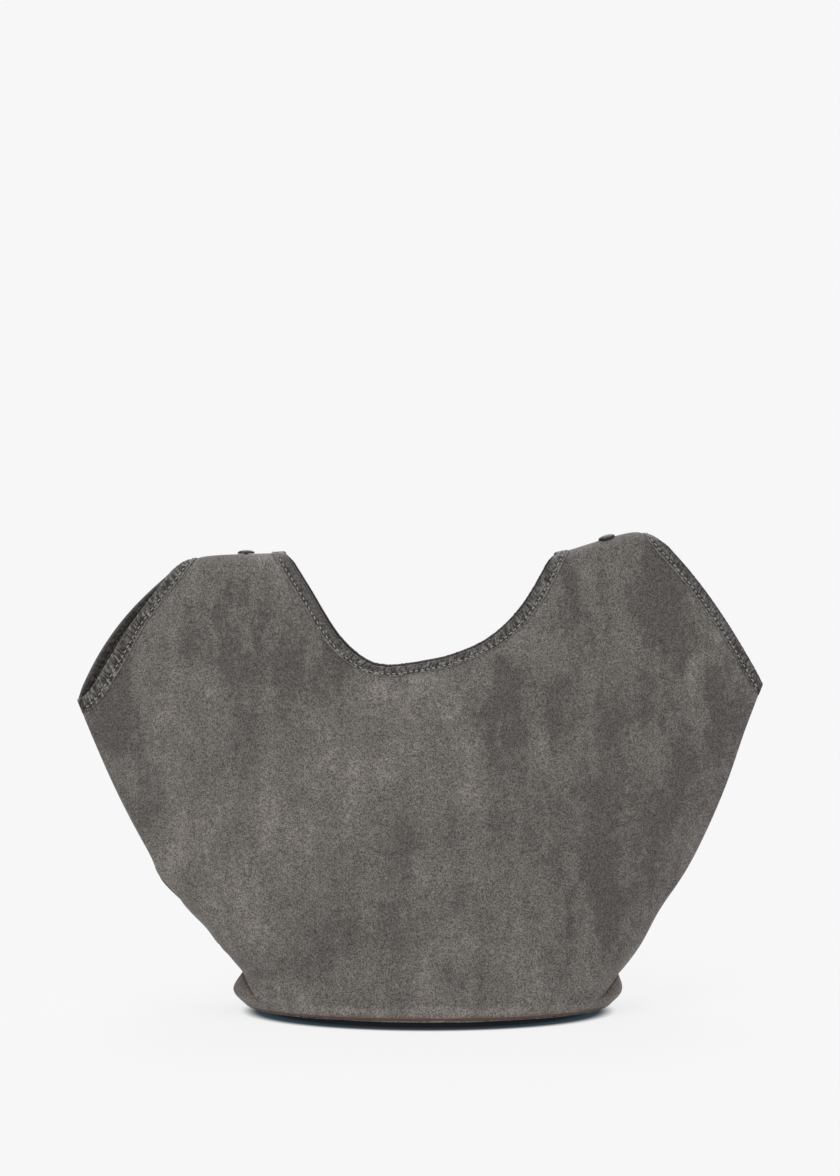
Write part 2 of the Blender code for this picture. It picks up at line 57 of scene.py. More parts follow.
# Height, change outwards and half height of each wave in a flank, left and right.
FLANK_WAVES = {
    -1: ((112 * MM, 5.0 * MM, 14 * MM), (71 * MM, -5.6 * MM, 17 * MM)),
    1: ((86 * MM, -4.6 * MM, 25 * MM), (242 * MM, -1.8 * MM, 35 * MM)),
}
# Share of the way across the neck and of its depth.
NECK_SHARES = (
    (0.085, 0.315),
    (0.19, 0.72),
    (0.29, 0.94),
    (0.38, 1.0),
    (0.50, 0.968),
    (0.63, 0.897),
    (0.77, 0.735),
    (0.89, 0.442),
)
NECK_SQUARE_SHARE = 0.4
NECK_NARROW_SHARE = 0.30
NARROW_MIDDLE_SHARE, NARROW_REACH_SHARE, NARROW_FADE_SHARE = 0.06, 0.75, 0.45
END_TURN_WIDTHS = 2
LEFT_WIDENING = 0.37
LEFT_WIDE_BELOW, LEFT_WIDE_FADE = 310 * MM, 38 * MM
LEFT_END_DROP = 1.5 * MM
LEFT_FRONT_OPENING_SHARES = ((0.753, 0.018), (0.693, 0.526))
LEFT_BACK_OPENING_SHARES = ((0.63, 0.71),)
RIGHT_OPENING_SHARES = ((0.28, 0.87),)
SHOULDER_PEAK_SHARE = 0.75
RIVET_SHARES = (0.39, 0.52)
OVAL_POWERS = (2.0, 0.5)
LENS_POWERS = (2.5, 1.0)
ROLL_POWER = 2.4
CURVE_STEPS = 120
END_CROWDING_SHARE = 0.68
CLOUD_GAIN = 1.8
TINY = 1e-12

# Cells of the panels' fine mesh.
SIDE_CELLS = 58
SHOULDER_CELLS = 26
NECK_CELLS = 112
LOW_CELLS = 30
MIDDLE_CELLS = 84
ROLL_CELLS = 26
SEAM_CELLS = 7
BAND_CELLS = 3
TUCK_DEPTHS = (0.15 * MM, 0.55 * MM, 1.3 * MM)

Side = namedtuple("Side", "sign tip_z base lobe notch peak_z neck_z")


def length(name, default, description, low=0.0):
    """A size of the tote, as a property in metres."""
    return FloatProperty(
        name=name, description=description, default=default, min=low, unit="LENGTH", precision=4
    )


def colour(name, default, description):
    """A colour of the tote, as a property."""
    return FloatVectorProperty(
        name=name, description=description, default=default, size=3, subtype="COLOR", min=0, max=1
    )


class ToteSizes(bpy.types.PropertyGroup):
    """The sizes of the tote."""

    tip_reach: length("Tip reach", 0.3005, "From the middle to either side tip")
    left_tip: length("Left tip height", 0.2695, "Height of the left side tip")
    right_tip: length("Right tip height", 0.2825, "Height of the right side tip")
    left_base: length("Left base reach", 0.1520, "From the middle to the left end of the bottom")
    right_base: length("Right base reach", 0.1660, "From the middle to the right end of the bottom")
    left_lobe: length("Left lobe", 0.0120, "How far the left foot of the bag bulges past the bottom")
    right_lobe: length("Right lobe", 0.0115, "How far the right foot bulges past the bottom")
    lobe_height: length("Lobe height", 0.0165, "Height of the widest place of each foot")
    left_notch: length("Left notch", 0.0032, "How far the left notch lies past the bottom")
    right_notch: length("Right notch", 0.0075, "How far the right notch lies past the bottom")
    notch_height: length("Notch height", 0.0330, "Height of the notches where the sides fold over")
    neck_reach: length("Neck reach", 0.1200, "From the middle to the shoulders")
    neck_height: length("Neck height", 0.4000, "Height of the shoulders beside the neck")
    right_neck_sag: length("Right neck sag", 0.0010, "How much lower the right side of the neck is")
    neck_drop: length("Neck drop", 0.1011, "Depth of the neck opening")
    shoulder: length("Shoulder width", 0.0845, "Width of each shoulder")
    left_sag: length("Left shoulder sag", 0.0025, "How far the left shoulder falls outwards")
    right_rise: length("Right shoulder rise", 0.0175, "How far the right shoulder rises outwards")
    shoulder_fall: length("Shoulder end fall", 0.0040, "How far a shoulder drops at its outer end")
    base_depth: length("Half depth at the bottom", 0.0700, "From the middle plane to the front")
    waist_depth: length("Half depth at the waist", 0.0560, "From the middle plane to the front")
    waist_height: length("Waist height", 0.1500, "Height of the waist")
    chest_depth: length("Half depth at the chest", 0.0320, "From the middle plane to the front")
    chest_height: length("Chest height", 0.2800, "Height of the chest")
    shoulder_depth: length("Half depth at the shoulders", 0.0185, "From the middle plane to the front")
    roll_height: length("Shoulder roll", 0.0120, "Height of the rounding over the shoulders")
    lens_height: length("Lens height", 0.2000, "Height above which the sides come to an edge")
    tip_spread: length("Tip spread", 0.0450, "Height over which the panels part near the tips")
    suede: length("Suede", 0.0016, "Thickness of the suede")
    binding: length("Binding leather", 0.0012, "Thickness of the binding leather")
    binding_width: length("Binding width", 0.0084, "From the suede's edge to the binding's inner edge")
    patch: length("Shoulder strip", 0.0012, "Thickness of the strips inside the shoulders")
    clearance: length("Clearance", 0.0003, "Room between pieces that lie on each other")
    bottom: length("Bottom", 0.0030, "Thickness of the bottom panel")
    bottom_edge: length("Bottom edge", -0.0008, "How far the bottom panel stands out all round", -0.005)
    board: length("Board", 0.0020, "Thickness of the board in the bottom")
    cover: length("Board cover", 0.0008, "Thickness of the cloth over the board")
    board_margin: length("Board margin", 0.0010, "Room between the board and the panels")
    pitch: length("Stitch pitch", 0.0049, "Distance between stitches", 0.0005)
    thread: length("Thread", 0.0010, "Thickness of the thread")
    stitch_inset: length("Stitch inset", 0.0030, "From the inner edge of a binding to its stitches")
    cap_width: length("Rivet cap", 0.0150, "Diameter of a rivet cap")
    cap_height: length("Rivet cap height", 0.0033, "Height of a rivet cap")


class ToteLook(bpy.types.PropertyGroup):
    """The colours and the liveliness of the tote's surfaces."""

    suede: colour("Suede", (0.140, 0.128, 0.118), "Middle tone of the suede")
    suede_dark: colour("Brushed suede", (0.094, 0.085, 0.078), "Where the nap lies away from the eye")
    suede_pale: colour("Rubbed suede", (0.200, 0.184, 0.170), "Where the nap is rubbed")
    # Darkened, this colour also paints the shade along the feet's folds.
    raw_edge: colour("Raw edge", (0.140, 0.060, 0.040), "Cut edges and deep creases of the suede")
    leather: colour("Binding", (0.100, 0.098, 0.092), "Middle tone of the binding leather")
    # Raised folds of the binding take this paler colour, partly as wear and partly as a painted highlight.
    leather_worn_and_lit: colour("Worn binding", (0.270, 0.264, 0.248), "Raised folds of the binding")
    thread: colour("Thread", (0.420, 0.405, 0.370), "Thread of the stitches")
    metal: colour("Gunmetal", (0.050, 0.048, 0.047), "Rivet caps and posts")
    board: colour("Board", (0.300, 0.270, 0.230), "Stiffener board")
    cloth: colour("Cover cloth", (0.110, 0.102, 0.095), "Cloth over the board")
    softness: length("Softness", 0.0022, "Height of the suede's broad dents and swells")
    fold: length("Foot fold", 0.0115, "Depth of the folds above the feet")
    pucker: length("Pucker", 0.00030, "Height of the binding's puckers")


def smooth(value):
    """Ease from 0 to 1."""
    held = np.clip(value, 0.0, 1.0)
    return held * held * (3.0 - 2.0 * held)


def ramp(value, start, reach):
    """Ease from 0 at the start to 1 at the far end of its reach."""
    return smooth((value - start) / reach)


def hump(away, width):
    """1 at no distance, falling to 0 like a bell on both sides."""
    return np.exp(-((away / width) ** 2))


def rounded(part):
    """How far a quarter round falls back, from 1 at its edge to 0 where it ends."""
    return 1 - np.sqrt(1 - (1 - np.clip(part, 0, 1)) ** 2)


def rounding(out, middle, radius, first, last, steps):
    """Distance out and height along the round of an edge, between two angles from level."""
    angles = np.linspace(first, last, steps + 1)
    return [(out - radius * (1 - math.cos(turn)), middle + radius * math.sin(turn)) for turn in angles]


def full_turn(count):
    """Angles of a full turn in equal steps."""
    return np.arange(count) / count * math.tau


def spline(points):
    """Points on a smooth curve through the given ones."""
    held = np.array(points, float)
    held = np.vstack([2 * held[0] - held[1], held, 2 * held[-1] - held[-2]])
    t = (np.arange(CURVE_STEPS) / CURVE_STEPS)[:, None]
    found = []
    for a, b, c, d in zip(held, held[1:], held[2:], held[3:]):
        line = 2 * b + (c - a) * t
        bend = (2 * a - 5 * b + 4 * c - d) * t**2 + (3 * b - a - 3 * c + d) * t**3
        found.append((line + bend) / 2)
    return np.vstack(found + [held[-2]])


def pulled_curve(*controls):
    """Points on the curve that the control points pull."""
    t = np.linspace(0, 1, CURVE_STEPS + 1)[:, None]
    lines = [np.array(point, float) for point in controls]
    while len(lines) > 1:
        lines = [a * (1 - t) + b * t for a, b in zip(lines, lines[1:])]
    return lines[0]


def lengths(points):
    """Distance along a line of points, from its start."""
    steps = np.linalg.norm(np.diff(points, axis=0), axis=1)
    return np.concatenate([[0.0], np.cumsum(steps)])


def sampled(values, along, wanted):
    """Rows of values read at the wanted distances."""
    return np.array([np.interp(wanted, along, column) for column in np.asarray(values).T]).T


def spaced(points, count, both_ends):
    """The same line in count steps, closer together at its last end or at both."""
    along = lengths(points)
    part = np.linspace(0, 1, count + 1)
    if both_ends:
        part = part - END_CROWDING_SHARE * np.sin(math.tau * part) / math.tau
    else:
        part = part + END_CROWDING_SHARE * np.sin(math.pi * part) / math.pi
    return sampled(points, along, part * along[-1])


def unit(vectors):
    """Vectors of length one in the same directions."""
    return vectors / np.maximum(np.linalg.norm(vectors, axis=-1, keepdims=True), TINY)


def cloud(points, size, seed):
    """Soft noise between about -1 and 1, with swells of the given size."""
    flat = np.asarray(points, float).reshape(-1, 3) / size + seed
    found = [noise.noise(Vector(place)) for place in flat]
    return CLOUD_GAIN * np.array(found).reshape(np.shape(points)[:-1])


class ToteShape:
    """The surfaces of the tote, worked out from its sizes."""

    def __init__(self, sizes):
        s = self.sizes = sizes
        self.left = Side(
            -1, s.left_tip, s.left_base, s.left_base + s.left_lobe, s.left_base + s.left_notch,
            s.neck_height - s.left_sag, s.neck_height,
        )
        self.right = Side(
            1, s.right_tip, s.right_base, s.right_base + s.right_lobe, s.right_base + s.right_notch,
            s.neck_height + s.right_rise, s.neck_height - s.right_neck_sag,
        )
        self.gap = s.clearance
        self.floor = s.bottom + s.clearance
        self.shoulder_end = s.neck_reach + s.shoulder
        self.roll_arc = math.pi / 4 * (s.roll_height + s.shoulder_depth)
        self.seams = {side.sign: self.seam(side) for side in (self.left, self.right)}
        self.crest = np.vstack([self.crest_line(self.left), self.crest_line(self.right)])
        self.depths = spline(
            [
                (self.floor, s.base_depth),
                (s.waist_height, s.waist_depth),
                (s.chest_height, s.chest_depth),
                (self.right.neck_z, s.shoulder_depth),
            ]
        )

    def seam(self, side):
        """The side seam from the bottom up to the tip."""
        s = self.sizes
        notch = (side.notch, s.notch_height)
        tip = (s.tip_reach, side.tip_z)
        flank = [a + (b - a) * part for a, b, part in zip(notch, tip, FLANK_SHARES)]
        foot = spline([(side.base, self.floor), (side.lobe, s.lobe_height), notch])
        line = np.vstack([foot[:-1], pulled_curve(notch, flank, tip)])
        for height, change, half in FLANK_WAVES[side.sign]:
            line[:, 0] += change * hump(line[:, 1] - height, half)
        return line * (side.sign, 1)

    def seam_x(self, side, z):
        """How far out a side seam lies at a height."""
        line = self.seams[side.sign]
        return np.interp(z, line[:, 1], line[:, 0])

    def crest_line(self, side):
        """Height of one shoulder from the front, left to right."""
        s = self.sizes
        peak = (s.neck_reach + s.shoulder * SHOULDER_PEAK_SHARE, side.peak_z)
        drop = s.shoulder_fall + (LEFT_END_DROP if side is self.left else 0)
        end = (self.shoulder_end, side.peak_z - drop)
        line = spline([(s.neck_reach, side.neck_z), peak, end]) * (side.sign, 1)
        return line[:: side.sign]

    def crest_z(self, x):
        """Height of the crest of the shoulders."""
        return np.interp(x, self.crest[:, 0], self.crest[:, 1])

    def crest_sheet(self, x):
        """Height of the crest with the rolled shoulder laid out flat."""
        return self.crest_z(x) + self.roll_arc - self.sizes.roll_height

    def tip_gap(self, x, z):
        """Extra room between the panels near the tips, for the binding's folded ends."""
        s = self.sizes
        tip = np.interp(x, (-s.tip_reach, s.tip_reach), (s.left_tip, s.right_tip))
        return (s.clearance + s.binding) * smooth((z - tip + s.tip_spread) / s.tip_spread)

    def across(self, x, z):
        """Share of the way from the middle out to the side seam."""
        left, right = self.seam_x(self.left, z), self.seam_x(self.right, z)
        return np.clip(np.abs(2 * x - left - right) / (right - left), 0.0, 1.0)

    def surface(self, x, sheet_z, front):
        """Places on the outside of a panel, from its sheet with the shoulders laid flat."""
        s = self.sizes
        fall = np.maximum(self.crest_sheet(x) - sheet_z, 0.0)
        angle = math.pi / 2 * np.clip(fall / self.roll_arc, 0.0, 1.0)
        drop = s.roll_height * (1 - np.cos(angle) ** (2 / ROLL_POWER))
        z = np.where(fall < self.roll_arc, self.crest_z(x) - drop, sheet_z)
        roll = np.sin(angle) ** (2 / ROLL_POWER)
        lens = ramp(z, self.floor, s.lens_height - self.floor)
        power, root = (a + (b - a) * lens for a, b in zip(OVAL_POWERS, LENS_POWERS))
        half = np.interp(z, self.depths[:, 0], self.depths[:, 1])
        bulge = half * (1 - self.across(x, z) ** power) ** root
        y = self.gap / 2 + (s.suede + self.tip_gap(x, z) + bulge) * roll
        return np.stack([x, -y if front else y, z], axis=-1)

    def outward(self, x, sheet_z, front):
        """Unit direction square to the outside of a panel."""
        step = self.sizes.clearance
        half = np.where(x < 0, -1.0, 1.0)
        here = self.surface(x, sheet_z, front)
        aside = (here - self.surface(x - half * step, sheet_z, front)) * half[..., None]
        upward = here - self.surface(x, sheet_z - step, front)
        return unit(np.cross(aside, upward) if front else np.cross(upward, aside))

    def opening_edge(self, side, front):
        """The edge of a side opening on the sheet, from the tip up to the shoulder."""
        tip = np.array([side.sign * self.sizes.tip_reach, side.tip_z])
        end_x = side.sign * self.shoulder_end
        end = np.array([end_x, self.crest_sheet(end_x)])
        shares = RIGHT_OPENING_SHARES
        if side is self.left:
            shares = LEFT_FRONT_OPENING_SHARES if front else LEFT_BACK_OPENING_SHARES
        controls = [
            (end[0] + (tip[0] - end[0]) * out, tip[1] + (end[1] - tip[1]) * up) for out, up in shares
        ]
        square = (end_x, end[1] - self.roll_arc)
        return spaced(pulled_curve(tip, *controls, square, end), SIDE_CELLS, False)

    def neck_edge(self):
        """The neck edge on the sheet, from the left shoulder to the right one."""
        reach = self.sizes.neck_reach
        start = (-reach, self.crest_sheet(-reach))
        end = (reach, self.crest_sheet(reach))
        square = self.roll_arc * NECK_SQUARE_SHARE
        points = [start, (start[0], start[1] - square)]
        for along, down in NECK_SHARES:
            top = self.left.neck_z + (self.right.neck_z - self.left.neck_z) * along
            points.append((reach * (2 * along - 1), top - self.sizes.neck_drop * down))
        points += [(end[0], end[1] - square), end]
        return spaced(spline(points), NECK_CELLS, True)

    def inset(self, edge, start_way, end_way, turn, widening):
        """A line about one binding width inside the edge; its ends lie in the ways given."""
        width = self.sizes.binding_width
        reach = self.sizes.neck_reach
        aside = np.abs(edge[:, 0] - reach * NARROW_MIDDLE_SHARE)
        low = smooth((reach * NARROW_REACH_SHARE - aside) / (reach * NARROW_FADE_SHARE))
        narrow = 1 - NECK_NARROW_SHARE * low[:, None] + widening
        along = lengths(edge)
        run = unit(np.gradient(edge, axis=0))
        square = turn * np.stack([-run[:, 1], run[:, 0]], axis=1)
        for away, own in ((along, start_way), (along[-1] - along, end_way)):
            part = 1 - smooth(away / (END_TURN_WIDTHS * width))[:, None]
            square = square + (np.array(own) - square) * part
        return edge + unit(square) * width * narrow

    def seam_way(self, side):
        """Unit direction from a tip down its seam."""
        width = self.sizes.binding_width
        low_x = self.seam_x(side, side.tip_z - width)
        return unit(np.array([low_x - side.sign * self.sizes.tip_reach, -width]))

    def edges(self, front):
        """Edge and binding lines of the left opening, the neck and the right opening."""
        found = []
        left_way = self.seam_way(self.left)
        for edge, start, end, turn, spots in (
            (self.opening_edge(self.left, front), left_way, (1, 0), -1, (-1,)),
            (self.neck_edge(), (-1, 0), (1, 0), -1, (0, -1)),
            (self.opening_edge(self.right, front), self.seam_way(self.right), (-1, 0), 1, (-1,)),
        ):
            widening = 0.0
            if front and start is left_way:
                widening = LEFT_WIDENING * (1 - ramp(edge[:, 1:], LEFT_WIDE_BELOW, LEFT_WIDE_FADE))
            line = self.inset(edge, start, end, turn, widening)
            for spot in spots:
                line[spot, 1] = self.crest_sheet(line[spot, 0])
            found.append((edge, line))
        for side, (_, line) in ((self.left, found[0]), (self.right, found[2])):
            line[0, 0] = self.seam_x(side, line[0, 1])
        return found


# Suede shell.
SEAM_ROUND = 1.6 * MM
SEAM_LIP = 0.5 * MM
SEAM_TOUCH = 0.02 * MM
TUCK_LIP_SHARE, TUCK_BACK_STEPS = 0.6, 8
HEM_ROUND = 1.8 * MM
HEM_TURN = 0.7 * MM
SKIN_FADE = 30 * MM
# Depth where the swells start, and the reaches over which they and the foot folds grow.
SWELL_DEPTH, SWELL_REACH, FOLD_GROWTH = 2 * MM, 14 * MM, 4.5 * MM
# Noise scale in height, size, seed step and share of each cloud of swells.
SWELLS = ((0.8, 0.105, 0, 0.62), (0.22, 0.040, 11, 0.34), (1, 0.024, 23, 0.13))
ROOM_BATCHES = 40
EVEN_ROUNDS = 300
FREE_CELLS = 16
FRONT_SEED, BACK_SEED = 3.7, 41.3
SHARP_ANGLE = 55
# Painted shade along the feet's folds: width of its dark line and how far below each fold it lies.
CREASE_SHADE_WIDTH = 1.4 * MM
CREASE_SHADE_BELOW = 2.3 * MM
# Start and reach of the ends of the painted shade along the creases and of the folds, as shares of a fold's
# length.
CREASE_SHADE_START, CREASE_SHADE_END, FOLD_END = (-0.05, 0.1), (0.35, 0.75), (0.70, 0.60)
EAR_SHADE, EAR_REACH = 0.30, 8 * MM
FOLD_STEP = 1.4 * MM
FLANK_REACH, FOOT_REACH, FOOT_DIP = 26 * MM, 6 * MM, 0.35
LEFT_FOLD_WAY = (20 * MM, -23 * MM)
RIGHT_FOLD_WAY = (-26 * MM, -23 * MM)


def top_line(shape, front):
    """The line on the sheet where a panel's free surface ends, left to right."""
    (_, left), (_, neck), (_, right) = shape.edges(front)
    shoulders = []
    for a, b in ((left[-1], neck[0]), (neck[-1], right[-1])):
        x = np.linspace(a[0], b[0], SHOULDER_CELLS + 1)[1:-1]
        shoulders.append(np.stack([x, shape.crest_sheet(x)], axis=1))
    return np.vstack([left, shoulders[0], neck, shoulders[1], right[::-1]])


def edge_line(shape, front):
    """The raw edges of a panel's openings beside its top line, with nothing along the shoulders."""
    (left, _), (neck, _), (right, _) = shape.edges(front)
    nothing = np.full((SHOULDER_CELLS - 1, 2), np.nan)
    return np.vstack([left, nothing, neck, nothing, right[::-1]])


def fold_places(shape, places):
    """Share of the way down each foot's fold, and the distance above the fold, for places on a panel."""
    s = shape.sizes
    found = []
    for side, way in ((shape.left, LEFT_FOLD_WAY), (shape.right, RIGHT_FOLD_WAY)):
        reach = math.hypot(*way)
        run = np.array(way) / reach
        up = np.array([-run[1], run[0]]) * (1 if side.sign < 0 else -1)
        away = places[..., (0, 2)] - (side.sign * side.notch, s.notch_height)
        found.append((away @ run / reach, away @ up, side.sign * places[..., 0] > 0))
    return found


def fold_height(shape, places, depth):
    """How far the flanks stand forward of the feet, along a fold that runs down from each notch."""
    found = np.zeros(places.shape[:-1])
    for along, above, near in fold_places(shape, places):
        flank = smooth(above / FOLD_STEP) * hump(above, FLANK_REACH)
        foot = -FOOT_DIP * hump(above, FOOT_REACH)
        found += depth * (1 - ramp(along, *FOLD_END)) * np.where(above > 0, flank, foot) * near
    return found


def fold_shade_marks(shape, places):
    """Painted shade of the feet's folds: 1 along a line just below each fold, weaker over the ear below it,
    falling to 0 beside them.
    """
    found = np.zeros(places.shape[:-1])
    for along, above, near in fold_places(shape, places):
        fade = ramp(along, *CREASE_SHADE_START) * (1 - ramp(along, *CREASE_SHADE_END))
        line = hump(above + CREASE_SHADE_BELOW, CREASE_SHADE_WIDTH)
        shade = EAR_SHADE * hump(above, EAR_REACH) * (above < 0)
        found += fade * np.maximum(line, shade) * near
    return found


def room_below(line, x, sheet_z):
    """Distance from places on the sheet to a panel's top line."""
    places = np.stack([x, sheet_z], axis=-1).reshape(-1, 1, 2)
    found = [np.linalg.norm(rows - line, axis=-1).min(1) for rows in np.array_split(places, ROOM_BATCHES)]
    return np.concatenate(found).reshape(np.shape(x))


def suede_skin(shape, look, x, sheet_z, front):
    """Places on the outside of the softly dented suede."""
    plain = shape.surface(x, sheet_z, front)
    facing = -1 if front else 1
    seed = FRONT_SEED if front else BACK_SEED
    room = room_below(top_line(shape, front), x, sheet_z)
    depth = np.abs(plain[..., 1])
    fade = smooth(room / SKIN_FADE) * smooth((plain[..., 2] - shape.floor) / SKIN_FADE)
    fade = fade * ramp(depth, SWELL_DEPTH, SWELL_REACH)
    clouds = [part * cloud(plain * (1, 1, tall), size, seed + step) for tall, size, step, part in SWELLS]
    skin = plain + shape.outward(x, sheet_z, front) * (look.softness * fade * sum(clouds))[..., None]
    skin[..., 1] += facing * fold_height(shape, plain, look.fold) * smooth(depth / FOLD_GROWTH)
    return skin


def seam_rounding(shape, skin, front):
    """Rounds the panel in towards its side seams."""
    facing = -1 if front else 1
    depth = facing * skin[..., 1]
    for side in (shape.left, shape.right):
        away = np.abs(skin[..., 0] - shape.seam_x(side, skin[..., 2]))
        depth = depth - (shape.sizes.suede - SEAM_LIP) * rounded(away / SEAM_ROUND)
    skin[..., 1] = facing * np.maximum(depth, shape.gap / 2 + SEAM_LIP)
    return skin


def grid_normals(points, front):
    """Unit directions square to a grid of places, outwards."""
    aside = np.gradient(points, axis=1)
    upward = np.gradient(points, axis=0)
    return unit(np.cross(aside, upward) if front else np.cross(upward, aside))


def cells(index):
    """Quads between neighbouring rows and columns of vertex numbers."""
    corners = [index[:-1, :-1], index[:-1, 1:], index[1:, 1:], index[1:, :-1]]
    return np.stack(corners, axis=-1).reshape(-1, 4)


def closed_shell(outer, inner, skin):
    """Points and quads of a sheet between two matching skins."""
    count = len(outer)
    pairs = np.vstack([skin[:, (0, 1)], skin[:, (1, 2)], skin[:, (2, 3)], skin[:, (3, 0)]])
    keys = pairs.min(1) * count + pairs.max(1)
    _, first, uses = np.unique(keys, return_index=True, return_counts=True)
    rim = pairs[first[uses == 1]]
    sides = np.stack([rim[:, 1], rim[:, 0], rim[:, 0] + count, rim[:, 1] + count], axis=1)
    return np.vstack([outer, inner]), np.vstack([skin, skin[:, ::-1] + count, sides])


def sheet_rows(shape, line):
    """Share of the way up each column of the panel, row by row."""
    s = shape.sizes
    tall = line[:, 1] - shape.floor
    low = s.notch_height - shape.floor
    rows = [low * step / LOW_CELLS / tall for step in range(LOW_CELLS)]
    for step in range(MIDDLE_CELLS):
        part = step / MIDDLE_CELLS
        rows.append((low * (1 - part) + (tall - shape.roll_arc) * part) / tall)
    for step in range(ROLL_CELLS + 1):
        rows.append(1 - shape.roll_arc * (1 - step / ROLL_CELLS) / tall)
    return np.array(rows)


def even_cells(grid, width):
    """Spreads the cells of a grid evenly inside its outline, above its low rows."""
    heights = np.diff(grid[..., 1], axis=0).mean(1)[:, None, None]
    above, below = heights[1:], heights[:-1]
    both = above + below
    across = width / (grid.shape[1] - 1)
    rows = np.arange(1, grid.shape[0] - 1)[:, None, None]
    free = smooth((rows - LOW_CELLS) / FREE_CELLS)
    for _ in range(EVEN_ROUNDS):
        left, right = grid[1:-1, :-2], grid[1:-1, 2:]
        down, up = grid[:-2, 1:-1], grid[2:, 1:-1]
        aside = (right - left) / (2 * across)
        rise = (up - down) / both
        skew = (grid[2:, 2:] - grid[2:, :-2] - grid[:-2, 2:] + grid[:-2, :-2]) / (2 * across * both)
        side_weight = np.sum(rise * rise, axis=-1, keepdims=True) / across**2
        lean = np.sum(aside * rise, axis=-1, keepdims=True)
        stretch = 2 * np.sum(aside * aside, axis=-1, keepdims=True) / both
        found = side_weight * (left + right) + stretch * (up / above + down / below) - 2 * lean * skew
        found = found / (2 * side_weight + stretch * (1 / above + 1 / below))
        grid[1:-1, 1:-1] += (found - grid[1:-1, 1:-1]) * free
    return grid


def sheet_grid(shape, line):
    """Sheet places of a panel, row by row from the hem to its top line."""
    part = lengths(line) / lengths(line)[-1]
    ends = [shape.seam_x(side, shape.floor) for side in (shape.left, shape.right)]
    base_x = sum(ends) / 2 + (ends[1] - ends[0]) / 2 * np.sin(math.pi / 2 * (2 * part - 1))
    up = sheet_rows(shape, line)
    tall = line[:, 1] - shape.floor
    x = base_x * (1 - up) + line[:, 0] * up
    for side, column, weight in ((shape.left, 0, 1 - part), (shape.right, -1, part)):
        straight = base_x[column] * (1 - up[:, column]) + line[column, 0] * up[:, column]
        moved = shape.seam_x(side, shape.floor + up[:, column] * tall[column]) - straight
        x = x + weight * moved[:, None]
    return even_cells(np.stack([x, shape.floor + up * tall], axis=-1), lengths(line)[-1])


def finer_ends(grid):
    """The same grid with its first and last columns cut finer towards the seams."""
    parts = (np.arange(1, SEAM_CELLS) / SEAM_CELLS) ** 2
    first = [grid[:, 0] + (grid[:, 1] - grid[:, 0]) * part for part in parts]
    last = [grid[:, -1] + (grid[:, -2] - grid[:, -1]) * part for part in parts[::-1]]
    middle = grid[:, 1:-1].swapaxes(0, 1)
    return np.stack([grid[:, 0], *first, *middle, *last, grid[:, -1]], 1)


def panel_points(shape, look, front):
    """Outer and inner places of a panel, its raw edges and which columns are its shoulders."""
    facing = -1 if front else 1
    line = top_line(shape, front)
    edge = finer_ends(edge_line(shape, front)[None])[0]
    sheet = finer_ends(sheet_grid(shape, line))
    shoulders = np.isnan(edge[:, 0])
    outer = seam_rounding(shape, suede_skin(shape, look, sheet[..., 0], sheet[..., 1], front), front)
    outer[-1, shoulders, 1] = facing * (shape.gap / 2 + SEAM_LIP)
    normals = grid_normals(outer, front)
    above = outer[..., 2] - shape.floor
    flat = unit(normals * (1, 1, 0))
    outer = outer - flat * (HEM_TURN * rounded(above / HEM_ROUND))[..., None]
    normals[-1, shoulders] = (0, 0, 1)
    inner = outer - normals * shape.sizes.suede
    inner[0, :, 2] = shape.floor
    inner[..., 1] = facing * np.maximum(facing * inner[..., 1], shape.gap / 2)
    return outer, inner, edge, shoulders


def tucks(outer, inner, turn, gap, facing):
    """Lines of places that turn a panel's edge in along a seam; turn is the way in."""
    deep = TUCK_DEPTHS[-1]
    lips, backs = [], []
    for number, depth in enumerate(TUCK_DEPTHS, 1):
        lip = outer + turn * depth
        lip[:, 1] = facing * (SEAM_TOUCH + (gap / 2 + SEAM_LIP * TUCK_LIP_SHARE) * (1 - depth / deep))
        lips.append(lip)
        backs.append(inner + turn * (number * deep / TUCK_BACK_STEPS))
    return np.array(lips), np.array(backs)


